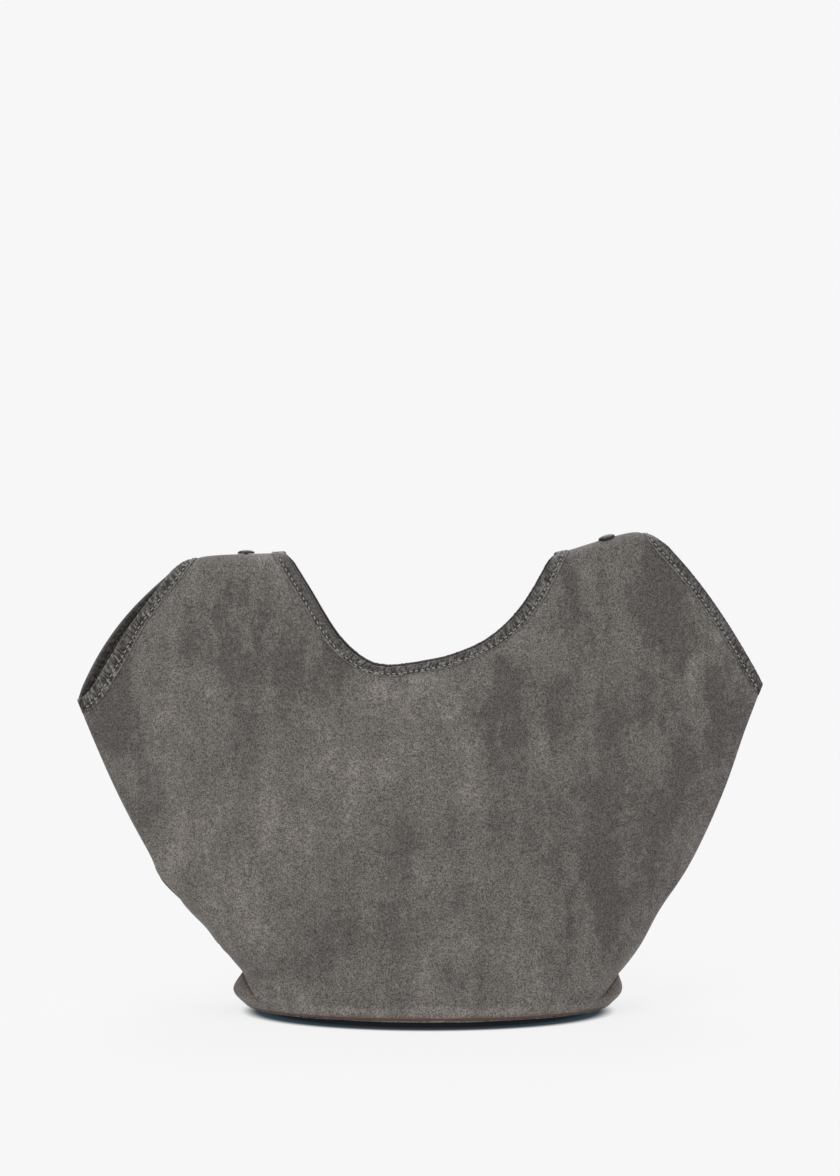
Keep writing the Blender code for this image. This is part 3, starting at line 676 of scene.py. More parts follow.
def make_panel(shape, look, name, front, material):
    """A suede panel, tucked in along its seams, with raw edges that its bindings cover."""
    facing = -1 if front else 1
    outer, inner, edge, shoulders = panel_points(shape, look, front)
    rows, columns = outer.shape[:2]
    points, backs = [outer.reshape(-1, 3)], [inner.reshape(-1, 3)]
    numbers = np.arange(rows * columns).reshape(rows, columns)
    faces = [cells(numbers)]

    def add(lines, inner_lines, first, flip, chosen=slice(None)):
        """Joins more lines of places to a line that is already there."""
        start = sum(len(held) for held in points)
        fresh = start + np.arange(lines.shape[0] * lines.shape[1]).reshape(lines.shape[:2])
        points.append(lines.reshape(-1, 3))
        backs.append(inner_lines.reshape(-1, 3))
        index = np.vstack([first[None], fresh])
        columns = np.arange(index.shape[1])[chosen]
        for run in np.split(columns, np.where(np.diff(columns) > 1)[0] + 1):
            strip = index[:, run]
            faces.append(cells(strip[:, ::-1] if flip else strip))

    for column, side in ((0, shape.left), (-1, shape.right)):
        turn = np.array((-side.sign, 0, 0))
        lips, hidden = tucks(outer[:, column], inner[:, column], turn, shape.gap, facing)
        add(lips, hidden, numbers[:, column], side is shape.left)
    lips, hidden = tucks(outer[-1], inner[-1], np.array((0, 0, -1)), shape.gap, facing)
    beside = shoulders | np.roll(shoulders, 1) | np.roll(shoulders, -1)
    add(lips, hidden, numbers[-1], False, beside)
    edge = np.nan_to_num(edge)
    rim = np.where(shoulders[:, None], outer[-1], shape.surface(edge[:, 0], edge[:, 1], front))
    rim_out = shape.outward(edge[:, 0], edge[:, 1], front)
    crest = np.abs(rim[:, 1]) < shape.gap
    rim_out[crest, 1] = 0
    rim_out = unit(rim_out)
    low_out = unit(outer[-1] - inner[-1])
    band, under = [], []
    for step in range(1, BAND_CELLS + 1):
        part = step / BAND_CELLS
        place = outer[-1] * (1 - part) + rim * part
        band.append(place)
        under.append(place - unit(low_out * (1 - part) + rim_out * part) * shape.sizes.suede)
    under = np.array(under)
    under[..., 1] = facing * np.maximum(facing * under[..., 1], shape.gap / 2)
    add(np.array(band), under, numbers[-1], False, ~shoulders)
    quads = np.vstack(faces)[:, :: 1 if front else -1]
    points, quads = closed_shell(np.vstack(points), np.vstack(backs), quads)
    # The relief attribute carries the painted shade along the feet's folds.
    return add_piece(name, points, quads, material, "suede", relief=fold_shade_marks(shape, points))


def place_object(name, data):
    """A new object of the scene."""
    held = bpy.data.objects.new(name, data)
    bpy.context.scene.collection.objects.link(held)
    return held


def add_piece(name, points, faces, material, slot, sharp=SHARP_ANGLE, relief=None):
    """A closed mesh in the tote's frame that rides with the tote."""
    mesh = bpy.data.meshes.new(name)
    mesh.from_pydata(np.asarray(points).tolist(), [], [list(face) for face in faces])
    # The relief attribute carries marks for painted shade and highlights.
    if relief is not None:
        held = mesh.attributes.new("relief", "FLOAT", "POINT")
        held.data.foreach_set("value", np.asarray(relief, np.float32).ravel())
    work = bmesh.new()
    work.from_mesh(mesh)
    loose = [v for v in work.verts if not v.link_faces]
    bmesh.ops.delete(work, geom=loose, context="VERTS")
    bmesh.ops.recalc_face_normals(work, faces=work.faces)
    work.to_mesh(mesh)
    work.free()
    mesh.shade_smooth()
    mesh.set_sharp_from_angle(angle=math.radians(sharp))
    mesh.materials.append(material)
    piece = place_object(name, mesh)
    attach(piece, "root")
    return piece


# Folded bindings and their thread.
LEFT_OPENING, NECK, RIGHT_OPENING = range(3)
BINDING_STEP = 0.45 * MM
LEATHER_ROUND = 0.5 * MM
LEG_STEPS, NOSE_STEPS, HIDDEN_STEPS, CORNER_STEPS = 20, 10, 6, 3
GROOVE_DEPTH, GROOVE_WIDTH = 0.30 * MM, 1.0 * MM
HOLE_DEPTH, HOLE_WIDTH = 0.22 * MM, 0.35 * MM
PUCKER_WIDTH = 3.4 * MM
PUCKER_SLANT = 0.35
# Least spread of the puckers, its gain with liveliness, and the liveliness where that begins.
SPREAD_LEAST, SPREAD_GAIN, SPREAD_FROM = 0.8, 0.8, 0.6
SWAY_SIZE, PHASE_SWAY = 11 * MM, 1.4
PUCKER_SHARE, PUCKER_SWAY = 0.65, 0.5
CRUMPLE_SIZE, FINE_CRUMPLE_SIZE = 1.9 * MM, 1.1 * MM
CRUMPLE_SHARE, FINE_CRUMPLE_SHARE = 0.7, 0.3
CRUMPLE_GAIN = 1.5
CRUMPLE_LENGTH_SHARE = 0.55
PUCKER_GAIN = 0.55
PUCKERS_A_STITCH = 2
NECK_LIVELINESS = 0.50
# Change of the neck's liveliness on the way to the right, where it starts and its reach.
NECK_CHANGES = ((0.85, -105 * MM, 60 * MM), (-0.3, 108 * MM, 12 * MM))
LEFT_FRONT_LIVELINESS, LEFT_BACK_LIVELINESS, RIGHT_LIVELINESS = 1.3, 0.6, 1.15
# Painted shade on each binding's nose, left, neck and right; the left one's negative share paints it lighter
# instead.
NOSE_SHADES = (-0.5, 1.0, 1.0)
# Painted shade on the binding's inner faces, at its edge and at its inner line.
INNER_SHADES = (0.55, 1.0)
SEEDS = {LEFT_OPENING: 7.3, NECK: 19.1, RIGHT_OPENING: 31.7}
FACE_SEED, FOLDS_SEED, FINE_SEED, SEED_LIFT = 3, 5, 9, 0.1
# Lighter line along the binding's inner cut edge, partly the raw edge's colour and partly a painted
# highlight, and its width.
EDGE_LIGHT, EDGE_LIGHT_WIDTH = 1.9, 0.60 * MM
OFF_CREST = (3 * MM, 9 * MM)
END_ROUND, END_ROUND_REACH = 0.7 * MM, 0.9 * MM
CREST_SINK, CREST_REACH = 0.75 * MM, 9 * MM
STITCH_START_SHARE, STITCH_END_SHARE = 0.22, 0.78
STITCH_HEIGHTS = (-0.40 * MM, 0.06 * MM, 0.13 * MM, 0.06 * MM, -0.40 * MM)
STITCH_SIDES = 6
STITCH_LEAN = 0.16 * MM
STITCH_MARGIN = 2.0 * MM
THREAD_SHARP_ANGLE = 80

Binding = namedtuple("Binding", "name part along edge edge_out inner inner_out closed")


def trace_binding(shape, name, part):
    """The edge and the inner line of a binding, up the front and down the back."""
    legs = []
    closed = part == NECK
    for front in (True, False):
        edge, line = shape.edges(front)[part]
        rows = []
        for places in (edge, line):
            out = shape.outward(places[:, 0], places[:, 1], front)
            for spot in (0, -1) if closed else (-1,):
                out[spot, 1] = 0
            rows += [shape.surface(places[:, 0], places[:, 1], front), unit(out)]
        legs.append(rows if front else [row[::-1] for row in rows])
    rows = [np.vstack(pair) for pair in zip(*legs)]
    if closed:
        rows = [np.vstack([row, row[:1]]) for row in rows]
    middle = lengths((rows[0] + rows[2]) / 2)
    count = round(middle[-1] / BINDING_STEP)
    wanted = np.linspace(0, middle[-1], count + 1)
    if closed:
        wanted = wanted[:-1]
    edge, edge_out, inner, inner_out = (sampled(row, middle, wanted) for row in rows)
    return Binding(name, part, wanted, edge, unit(edge_out), inner, unit(inner_out), closed)


def binding_places(sizes, strip, across, height):
    """Places beside a binding's edge; a negative distance across lies past the edge."""
    width = sizes.binding_width
    part = np.clip(across / width, 0, 1)[..., None]
    inward = unit(strip.inner - strip.edge)
    square = unit(inward - strip.edge_out * np.sum(inward * strip.edge_out, axis=1, keepdims=True))
    base = strip.edge * (1 - part) + strip.inner * part
    base = base + square * np.minimum(across, 0)[..., None]
    out = unit(strip.edge_out * (1 - part) + strip.inner_out * part)
    return base + out * height[..., None]


def binding_profile(sizes):
    """Across and height of a binding's outer skin and of its hidden side, with the ways outwards."""
    width, leather, gap, suede = sizes.binding_width, sizes.binding, sizes.clearance, sizes.suede
    radius = suede / 2 + gap + leather
    corner = rounding(width, gap + leather - LEATHER_ROUND, LEATHER_ROUND, 0, math.pi / 2, CORNER_STEPS)
    skin = [(across, height, 0, 1) for across, height in corner]
    for step in range(1, LEG_STEPS + 1):
        skin.append(((width - LEATHER_ROUND) * (1 - step / LEG_STEPS), gap + leather, 0, 1))
    flipped = [(across, -suede - height, 0, -1) for across, height, _, _ in skin[::-1]]
    under = [(width * (step / HIDDEN_STEPS), -suede - gap) for step in range(HIDDEN_STEPS + 1)]
    hidden = [(across, gap) for across, _ in under[::-1]]
    bend = suede / 2 + gap
    for step in range(1, NOSE_STEPS):
        angle = math.pi * step / NOSE_STEPS
        way = (-math.sin(angle), math.cos(angle))
        skin.append((radius * way[0], radius * way[1] - suede / 2, *way))
        hidden.append((bend * way[0], bend * way[1] - suede / 2))
    return np.array(skin + flipped), np.array((hidden + under)[::-1])


def liveliness(strip):
    """How much a binding is puckered along its length."""
    x, front = strip.edge[:, 0], strip.edge[:, 1] < 0
    if strip.part == NECK:
        changes = [change * ramp(x, start, reach) for change, start, reach in NECK_CHANGES]
        return NECK_LIVELINESS + sum(changes)
    if strip.part == LEFT_OPENING:
        return np.where(front, LEFT_FRONT_LIVELINESS, LEFT_BACK_LIVELINESS)
    return np.full(len(x), RIGHT_LIVELINESS)


def binding_relief(sizes, look, strip, across, face):
    """Height of the groove, the needle holes and the puckers along a binding."""
    inset = across - (sizes.binding_width - sizes.stitch_inset)
    along, strength = strip.along, liveliness(strip)
    seed = SEEDS[strip.part] + FACE_SEED * face
    lift = np.full_like(along, seed * SEED_LIFT)
    flat = np.stack([along + PUCKER_SLANT * across, across * CRUMPLE_LENGTH_SHARE, lift], axis=-1)
    sway = cloud(flat, SWAY_SIZE, seed)
    folds = cloud(flat, CRUMPLE_SIZE, seed + FOLDS_SEED)
    fine = cloud(flat, FINE_CRUMPLE_SIZE, seed + FINE_SEED)
    turns = PUCKERS_A_STITCH * (along + PUCKER_SLANT * inset) / sizes.pitch
    reach = PUCKER_WIDTH * (SPREAD_LEAST + SPREAD_GAIN * np.clip(strength - SPREAD_FROM, 0, 1))
    puckers = np.cos(math.tau * turns + PHASE_SWAY * sway) * hump(inset, reach)
    puckers = puckers * (PUCKER_SHARE + PUCKER_SWAY * sway)
    crumples = CRUMPLE_SHARE * folds + FINE_CRUMPLE_SHARE * fine
    broad = CRUMPLE_GAIN * crumples * hump(inset, 2 * reach)
    height = look.pucker * strength * (PUCKER_GAIN * puckers + broad)
    groove = -GROOVE_DEPTH * hump(inset, GROOVE_WIDTH)
    turn = (along / sizes.pitch) % 1.0
    nearest = np.minimum(turn, 1 - turn) * sizes.pitch
    holes = -HOLE_DEPTH * hump(nearest, HOLE_WIDTH) * hump(inset, HOLE_WIDTH)
    return height + groove + holes


def ring_faces(rings, size, closed):
    """Quads round a row of rings, with end faces where the row is open."""
    index = np.arange(rings * size).reshape(rings, size)
    wrapped = np.hstack([index, index[:, :1]])
    if closed:
        wrapped = np.vstack([wrapped, wrapped[:1]])
    faces = cells(wrapped).tolist()
    if not closed:
        faces += [index[0].tolist()[::-1], index[-1].tolist()]
    return faces


def make_binding(shape, look, strip, material):
    """A leather strip folded over an edge, with marks for painted shade in its hollows, on its nose and on
    its inner faces, and for paler raised folds and a lighter cut edge, partly real and partly painted
    highlight.
    """
    sizes = shape.sizes
    width, count = sizes.binding_width, len(strip.along)
    skin, hidden = binding_profile(sizes)
    rings, marks = [], []
    ends = np.minimum(strip.along, strip.along[-1] - strip.along)
    round_in = rounded(ends / END_ROUND_REACH)
    depth = np.abs(strip.edge[:, 1])
    off_crest = ramp(depth, *OFF_CREST)
    sunk = CREST_SINK * (1 - smooth(depth / CREST_REACH))
    edge_shade, inner_shade = INNER_SHADES
    for across, height, way_across, way_up in skin:
        face = 0 if way_up >= 0 else 1
        places = np.full(count, across)
        relief = binding_relief(sizes, look, strip, places, face)
        # Lighter cut edge, partly its raw colour and partly a painted highlight.
        lit = hump(across - width, EDGE_LIGHT_WIDTH) * off_crest
        # Painted shade on the inner faces, growing towards the inner line.
        inside = face * (edge_shade + (inner_shade - edge_shade) * across / width)
        shade = relief / look.pucker + NOSE_SHADES[strip.part] * way_across - inside
        marks.append(shade * (1 - lit) + EDGE_LIGHT * lit)
        if not strip.closed:
            relief = relief * (1 - round_in) - END_ROUND * round_in
        low = sunk * smooth(across / width) if face == 0 else 0
        lifted = height - low + way_up * relief
        rings.append(binding_places(sizes, strip, places + way_across * relief, lifted))
    for across, height in hidden:
        rings.append(binding_places(sizes, strip, np.full(count, across), np.full(count, height)))
        marks.append(np.zeros(count))
    points = np.array(rings).swapaxes(0, 1)
    faces = ring_faces(*points.shape[:2], strip.closed)
    relief = np.array(marks).T
    return add_piece(strip.name, points.reshape(-1, 3), faces, material, "binding", relief=relief)


def make_stitches(shape, look, strip, name, material):
    """One thread tube for each stitch, on the outside and on the inside of a binding."""
    sizes = shape.sizes
    count = int((strip.along[-1] - 2 * STITCH_MARGIN) / sizes.pitch)
    angles = full_turn(STITCH_SIDES)
    aways = np.cos(angles) * sizes.thread / 2
    asides = np.sin(angles) * sizes.thread / 2
    parts = np.linspace(STITCH_START_SHARE, STITCH_END_SHARE, len(STITCH_HEIGHTS))
    row = sizes.binding_width - sizes.stitch_inset
    across = row + np.linspace(-STITCH_LEAN, STITCH_LEAN, len(parts))
    lines = np.hstack([strip.edge, strip.edge_out, strip.inner, strip.inner_out])
    points, faces, marks = [], [], []
    for face, turn in enumerate((1, -1)):
        for number in range(1, count):
            along = (number + parts) * sizes.pitch
            edge, edge_out, inner, inner_out = np.hsplit(sampled(lines, strip.along, along), 4)
            held = Binding("", strip.part, along, edge, unit(edge_out), inner, unit(inner_out), False)
            relief = binding_relief(sizes, look, held, across, face)
            height = sizes.clearance + sizes.binding + relief + np.array(STITCH_HEIGHTS)
            height = height if face == 0 else -sizes.suede - height
            centre = binding_places(sizes, held, across, height)
            run = unit(np.gradient(centre, axis=0))
            way = held.inner_out * turn
            out = unit(way - run * np.sum(way * run, axis=1, keepdims=True))
            aside = np.cross(run, out)
            ring = centre[:, None] + out[:, None] * aways[:, None] + aside[:, None] * asides[:, None]
            start = len(points) * ring.shape[0] * ring.shape[1]
            points.append(ring.reshape(-1, 3))
            # Stitches on the inner face are marked for the thread's painted shade.
            marks.append(np.full(len(points[-1]), face))
            for quad in ring_faces(*ring.shape[:2], False):
                faces.append([corner + start for corner in quad])
    points, marks = np.vstack(points), np.concatenate(marks)
    return add_piece(name, points, faces, material, "binding", THREAD_SHARP_ANGLE, marks)


# Flat bottom with its board.
OVAL_STEPS = 240
RIM_RISE = 1.5 * MM
RIM_REACH = 14.0 * MM
RIM_ROUND = 0.7 * MM
RIM_STEPS, RIM_CURVE, ROUND_STEPS = 8, 1.6, 4
RIM_WAVE, RIM_WAVE_SIZE = 0.25 * MM, 22 * MM
UNDER_REACH_SHARE = 2.2
TOP_REACH = 3 * MM
HAIR = 0.01 * MM
SHOWN_REACH, SHOWN_FADE, HIDDEN_INSET = 35 * MM, 45 * MM, 2.6 * MM
COVER_SWELL, COVER_SWELL_SIZE = 0.5 * MM, 30 * MM
COVER_UNDER_REACH, COVER_ROUND_STEPS = 40 * MM, 6
COVER_RINGS_MM = (0.4, 3, 7, 12, 18, 25, 33, 40, 46, 52, 58, 63)
PUFF_START, PUFF_RINGS = 7, 4


def oval(shape, change, z):
    """The outline of the bottom, widened or narrowed all round."""
    s = shape.sizes
    left, right = (shape.seam_x(side, shape.floor) for side in (shape.left, shape.right))
    reach = (right - left) / 2 + change
    depth = s.base_depth + s.suede + shape.gap / 2 + change
    angles = full_turn(OVAL_STEPS)
    x = (left + right) / 2 + reach * np.cos(angles)
    return np.stack([x, depth * np.sin(angles), np.full_like(x, z)], axis=1)


def oval_rings(shape, profile):
    """Points and faces of an oval plate from its rings, from under its middle out and up over it."""
    rings = np.array([oval(shape, change, z) for change, z in profile])
    return rings, ring_faces(len(rings), OVAL_STEPS, False)


def make_bottom(shape, material):
    """The suede bottom, whose rim lifts a little off the ground."""
    s = shape.sizes
    edge = s.bottom_edge
    profile = [(edge - RIM_REACH * UNDER_REACH_SHARE, 0), (edge - RIM_REACH, 0)]
    for step in range(1, RIM_STEPS + 1):
        part = step / RIM_STEPS
        away = (RIM_REACH - RIM_ROUND) * (1 - part) + RIM_ROUND
        profile.append((edge - away, RIM_RISE * part**RIM_CURVE))
    for height, turn in ((RIM_RISE + RIM_ROUND, -math.pi / 2), (s.bottom - RIM_ROUND, 0)):
        profile += rounding(edge, height, RIM_ROUND, turn, turn + math.pi / 2, ROUND_STEPS)
    profile += [(edge - TOP_REACH, s.bottom), (edge - RIM_REACH, s.bottom)]
    rings, faces = oval_rings(shape, profile)
    rim = smooth(rings[..., 2] / s.bottom) * (rings[..., 2] < s.bottom - HAIR)
    rings[..., 2] += RIM_WAVE * cloud(rings, RIM_WAVE_SIZE, FRONT_SEED) * rim
    middle = rings[0, :, 0].mean()
    way = unit(rings[..., :2] - (middle, 0))
    aside = ramp(np.abs(rings[..., 0] - middle), SHOWN_REACH, SHOWN_FADE)
    rings[..., :2] -= way * (HIDDEN_INSET * aside)[..., None]
    return add_piece("oval_bottom", rings.reshape(-1, 3), faces, material, "suede")


def make_cover(shape, material):
    """The cloth over the board, a little puffed, with a rounded edge."""
    s = shape.sizes
    low = s.bottom + s.board + 2 * s.clearance
    top = low + s.cover
    edge = -s.suede - s.board_margin
    radius = s.cover / 2
    profile = [(edge - COVER_UNDER_REACH, low), (edge - radius, low)]
    profile += rounding(edge, low + radius, radius, -math.pi / 2, math.pi / 2, COVER_ROUND_STEPS)[1:-1]
    profile += [(edge - radius - inward * MM, top) for inward in COVER_RINGS_MM]
    rings, faces = oval_rings(shape, profile)
    puff = smooth((rings[..., 2] - low) / s.cover) * (rings[..., 2] > top - HAIR)
    inner = ramp(np.arange(len(profile)), PUFF_START, PUFF_RINGS)[:, None]
    swell = 0.5 + 0.5 * cloud(rings, COVER_SWELL_SIZE, BACK_SEED)
    rings[..., 2] += COVER_SWELL * swell * puff * inner
    return add_piece("bottom_cover", rings.reshape(-1, 3), faces, material, "lining")


# Strips inside the shoulders.
STRIP_ROWS = 30
STRIP_COLUMNS = 60
STRIP_DROP = 8.0 * MM
STRIP_INSET = 1.0 * MM


def make_strip(shape, look, name, side, material):
    """The leather strip that lines a shoulder's seam inside."""
    s = shape.sizes
    near = s.neck_reach + s.binding_width + STRIP_INSET
    far = shape.shoulder_end - s.binding_width - STRIP_INSET
    ends = sorted((side.sign * near, side.sign * far))
    x = np.linspace(*ends, STRIP_COLUMNS)
    down = np.linspace(shape.roll_arc + STRIP_DROP, 0, STRIP_ROWS)
    x_grid, down_grid = np.meshgrid(x, down)
    skins = []
    for depth in (s.suede + s.clearance, s.suede + s.clearance + s.patch):
        halves = []
        for front in (True, False):
            sheet = shape.crest_sheet(x_grid) - down_grid
            places = suede_skin(shape, look, x_grid, sheet, front)
            normals = grid_normals(places, front)
            normals[-1, :, 1] = 0
            halves.append(places - unit(normals) * depth)
        crest = (halves[0][-1] + halves[1][-1]) / 2
        skins.append(np.vstack([halves[0][:-1], crest[None], halves[1][-2::-1]]))
    outer, inner = (skin.reshape(-1, 3) for skin in skins)
    quads = cells(np.arange(len(outer)).reshape(skins[0].shape[:2]))
    return add_piece(name, *closed_shell(outer, inner, quads), material, "binding")


# Rivets.
CAP_STEPS = 72
CAP_LIP, CAP_LIP_ROUND = 0.9 * MM, 0.25 * MM
CAP_RINGS, CAP_ROUND_STEPS = 14, 4
CAP_UNDER_SHARE = 0.3
CAP_SHARP_ANGLE = 40
RIM_GROOVE, GROOVE_RING, GROOVE_RINGS = 0.06 * MM, 4, 1.2
CAP_FORWARD = 5.0 * MM
SEAT_STEPS = 80


def cap_profile(sizes):
    """Radius and height of a domed cap, from under its middle out and up to its crown."""
    radius, base, lip = sizes.cap_width / 2, sizes.clearance, CAP_LIP_ROUND
    profile = [(radius * CAP_UNDER_SHARE, base), (radius - lip, base)]
    profile += rounding(radius, base + lip, lip, -math.pi / 2, 0, CAP_ROUND_STEPS)[1:]
    for step in range(1, CAP_RINGS + 1):
        angle = math.pi / 2 * step / (CAP_RINGS + 1)
        height = CAP_LIP + (sizes.cap_height - CAP_LIP) * math.sin(angle)
        groove = RIM_GROOVE * hump(step - GROOVE_RING, GROOVE_RINGS)
        profile.append((radius * math.cos(angle), base + height - groove))
    return profile


def cap_seat(shape, x, forward):
    """The place on a shoulder where a cap's middle lies, some way forward of the crest, and the way up."""
    fall = np.linspace(0, shape.roll_arc / 2, SEAT_STEPS)
    sheet = shape.crest_sheet(x) - fall
    places = shape.surface(np.full_like(fall, x), sheet, True)
    spot = int(np.argmin(np.abs(places[:, 1] + forward)))
    up = shape.outward(np.full(1, x), sheet[spot : spot + 1], True)[0]
    return places[spot], up


def make_cap(shape, name, side, part, material):
    """A domed rivet cap, tilted as the shoulder lies under it."""
    s = shape.sizes
    x = side.sign * (s.neck_reach + s.shoulder * part)
    rise = shape.crest_z(x + s.cap_width / 2) - shape.crest_z(x - s.cap_width / 2)
    place, up = np.array((x, 0, shape.crest_z(x))), unit(np.array((-rise, 0, s.cap_width)))
    if side is shape.right:
        place, up = cap_seat(shape, x, CAP_FORWARD)
    along = unit(np.cross((0, 1, 0), up))
    aside = np.cross(up, along)
    angles = full_turn(CAP_STEPS)[:, None]
    around = np.cos(angles) * along + np.sin(angles) * aside
    rings = [place + radius * around + height * up for radius, height in cap_profile(s)]
    faces = ring_faces(len(rings), CAP_STEPS, False)
    return add_piece(name, np.vstack(rings), faces, material, "rivet", CAP_SHARP_ANGLE)


# Finishes. Several share the groups for broad tone and short fibres; creases are the leather's own.
FLOAT, VECTOR = "NodeSocketFloat", "NodeSocketVector"
BRUSH_STRETCH, HAIR_STRETCH = (1.0, 1.0, 0.28), (1.0, 1.0, 0.45)
# How much finer the small parts of an effect are than the broad one.
BRUSH_TIMES, MOTTLE_TIMES, HAIR_TIMES, GRAIN_TIMES, WEAR_TIMES = 4.0, 16.0, 3.1, 2.2, 0.16
BRUSH_SHARE, HAIR_SHARE, GRAIN_SHARE = 0.55, 0.45, 0.4
WARP_SCALE, WARP_SHARE = 240.0, 0.0016


class Nodes:
    """Adds and joins the nodes of one tree."""

    def __init__(self, tree):
        self.tree = tree

    def add(self, kind, inputs=None, **settings):
        """A node with its settings and its inputs, which are values or other nodes' outputs."""
        node = self.tree.nodes.new(kind)
        for name, value in settings.items():
            setattr(node, name, value)
        for key, value in (inputs or {}).items():
            socket = node.inputs[key]
            if isinstance(value, bpy.types.NodeSocket):
                self.tree.links.new(value, socket)
            else:
                socket.default_value = value
        return node

    def math(self, operation, *values):
        """A sum of values."""
        return self.add("ShaderNodeMath", dict(enumerate(values)), operation=operation).outputs[0]

    def vector(self, operation, *values):
        """The outputs of a sum of vectors."""
        return self.add("ShaderNodeVectorMath", dict(enumerate(values)), operation=operation).outputs

    def scaled(self, value, factor):
        """A colour made brighter or darker."""
        return self.add("ShaderNodeVectorMath", {0: value, "Scale": factor}, operation="SCALE").outputs[0]

    def mix(self, part, low, high):
        """A colour between two others."""
        return self.add("ShaderNodeMix", {0: part, 6: low, 7: high}, data_type="RGBA").outputs[2]

    def remap(self, value, low, high, to_low=0.0, to_high=1.0):
        """A value eased from one range into another."""
        inputs = {0: value, 1: low, 2: high, 3: to_low, 4: to_high}
        return self.add("ShaderNodeMapRange", inputs, interpolation_type="SMOOTHSTEP").outputs[0]

    def noise(self, vector, scale, detail, roughness):
        """Cloudy noise from 0 to 1."""
        inputs = {"Vector": vector, "Scale": scale, "Detail": detail, "Roughness": roughness}
        return self.add("ShaderNodeTexNoise", inputs).outputs["Fac"]

    def stretched(self, vector, factors):
        """A place scaled along its axes."""
        return self.add("ShaderNodeMapping", {"Vector": vector, "Scale": factors}).outputs[0]

    def relief(self):
        """The marks that a piece's mesh carries, which set its painted shade and highlights."""
        return self.add("ShaderNodeAttribute", attribute_name="relief").outputs["Fac"]


def new_group(name, sockets_in, sockets_out):
    """An empty shader node group with named float and vector sockets."""
    group = bpy.data.node_groups.new(name, "ShaderNodeTree")
    for label, kind in sockets_in:
        group.interface.new_socket(label, in_out="INPUT", socket_type=kind)
    for label, kind in sockets_out:
        group.interface.new_socket(label, in_out="OUTPUT", socket_type=kind)
    nodes = Nodes(group)
    return group, nodes, nodes.add("NodeGroupInput").outputs, nodes.add("NodeGroupOutput").inputs


def tone_group():
    """Broad clouds, upright brushing and small mottling, as one tone from 0 to 1."""
    sockets = [("Vector", VECTOR), ("Scale", FLOAT), ("Mottle", FLOAT)]
    group, nodes, given, out = new_group("Nap tone", sockets, [("Tone", FLOAT)])
    place, scale = given["Vector"], given["Scale"]
    broad = nodes.noise(place, scale, detail=3.0, roughness=0.55)
    tall = nodes.stretched(place, BRUSH_STRETCH)
    brushed = nodes.noise(tall, nodes.math("MULTIPLY", scale, BRUSH_TIMES), detail=3.0, roughness=0.6)
    small = nodes.noise(place, nodes.math("MULTIPLY", scale, MOTTLE_TIMES), detail=4.0, roughness=0.65)
    part = nodes.math("MULTIPLY_ADD", nodes.math("SUBTRACT", brushed, 0.5), BRUSH_SHARE, broad)
    speck = nodes.math("MULTIPLY", nodes.math("SUBTRACT", small, 0.5), given["Mottle"])
    group.links.new(nodes.remap(nodes.math("ADD", part, speck), low=0.16, high=0.84), out["Tone"])
    return group


def fibre_group():
    """Short fibres that lie in small tufts, as a height and a mask."""
    sockets = [("Vector", VECTOR), ("Scale", FLOAT)]
    group, nodes, given, out = new_group("Short fibres", sockets, [("Height", FLOAT), ("Mask", FLOAT)])
    place, scale = given["Vector"], given["Scale"]
    tufts = nodes.noise(place, scale, detail=4.0, roughness=0.85)
    hair = nodes.stretched(place, HAIR_STRETCH)
    hairs = nodes.noise(hair, nodes.math("MULTIPLY", scale, HAIR_TIMES), detail=2.0, roughness=0.6)
    height = nodes.math("MULTIPLY_ADD", hairs, HAIR_SHARE, tufts)
    group.links.new(height, out["Height"])
    group.links.new(nodes.remap(height, low=0.60, high=0.85), out["Mask"])
    return group


def crease_group():
    """Fine crazed creases of leather and the wear on them."""
    sockets = [("Vector", VECTOR), ("Scale", FLOAT)]
    group, nodes, given, out = new_group("Leather creases", sockets, [("Height", FLOAT), ("Wear", FLOAT)])
    place, scale = given["Vector"], given["Scale"]
    warp = nodes.add("ShaderNodeTexNoise", {"Vector": place, "Scale": WARP_SCALE, "Detail": 2.0})
    inputs = {0: WARP_SHARE, 4: place, 5: warp.outputs["Color"]}
    shifted = nodes.add("ShaderNodeMix", inputs, data_type="VECTOR")
    inputs = {"Vector": shifted.outputs[1], "Scale": scale}
    pebbles = nodes.add("ShaderNodeTexVoronoi", inputs, feature="DISTANCE_TO_EDGE")
    crazing = nodes.remap(pebbles.outputs["Distance"], low=0.0, high=0.16)
    grain = nodes.noise(place, nodes.math("MULTIPLY", scale, GRAIN_TIMES), detail=3.0, roughness=0.6)
    group.links.new(nodes.math("MULTIPLY_ADD", grain, GRAIN_SHARE, crazing), out["Height"])
    cloudy = nodes.noise(place, nodes.math("MULTIPLY", scale, WEAR_TIMES), detail=4.0, roughness=0.65)
    group.links.new(nodes.remap(cloudy, low=0.38, high=0.72), out["Wear"])
    return group


def colour4(value, share=1.0):
    """A colour with its alpha, all of it or each of its three parts times a share."""
    return (*(np.array(value) * share), 1.0)


def new_material(name, roughness, **constants):
    """A material with one Principled BSDF, its nodes helper and the object's own coordinates."""
    material = bpy.data.materials.new(name)
    material.use_nodes = True
    tree = material.node_tree
    shader = next(node for node in tree.nodes if node.type == "BSDF_PRINCIPLED")
    shader.inputs["Roughness"].default_value = roughness
    for label, value in constants.items():
        shader.inputs[label.replace("_", " ")].default_value = value
    nodes = Nodes(tree)
    place = nodes.add("ShaderNodeTexCoord").outputs["Object"]
    return material, shader, nodes, place


def use_group(nodes, name, make, vector, **values):
    """The outputs of a group, which is made at its first use."""
    group = bpy.data.node_groups.get(name) or make()
    return nodes.add("ShaderNodeGroup", {"Vector": vector, **values}, node_tree=group).outputs


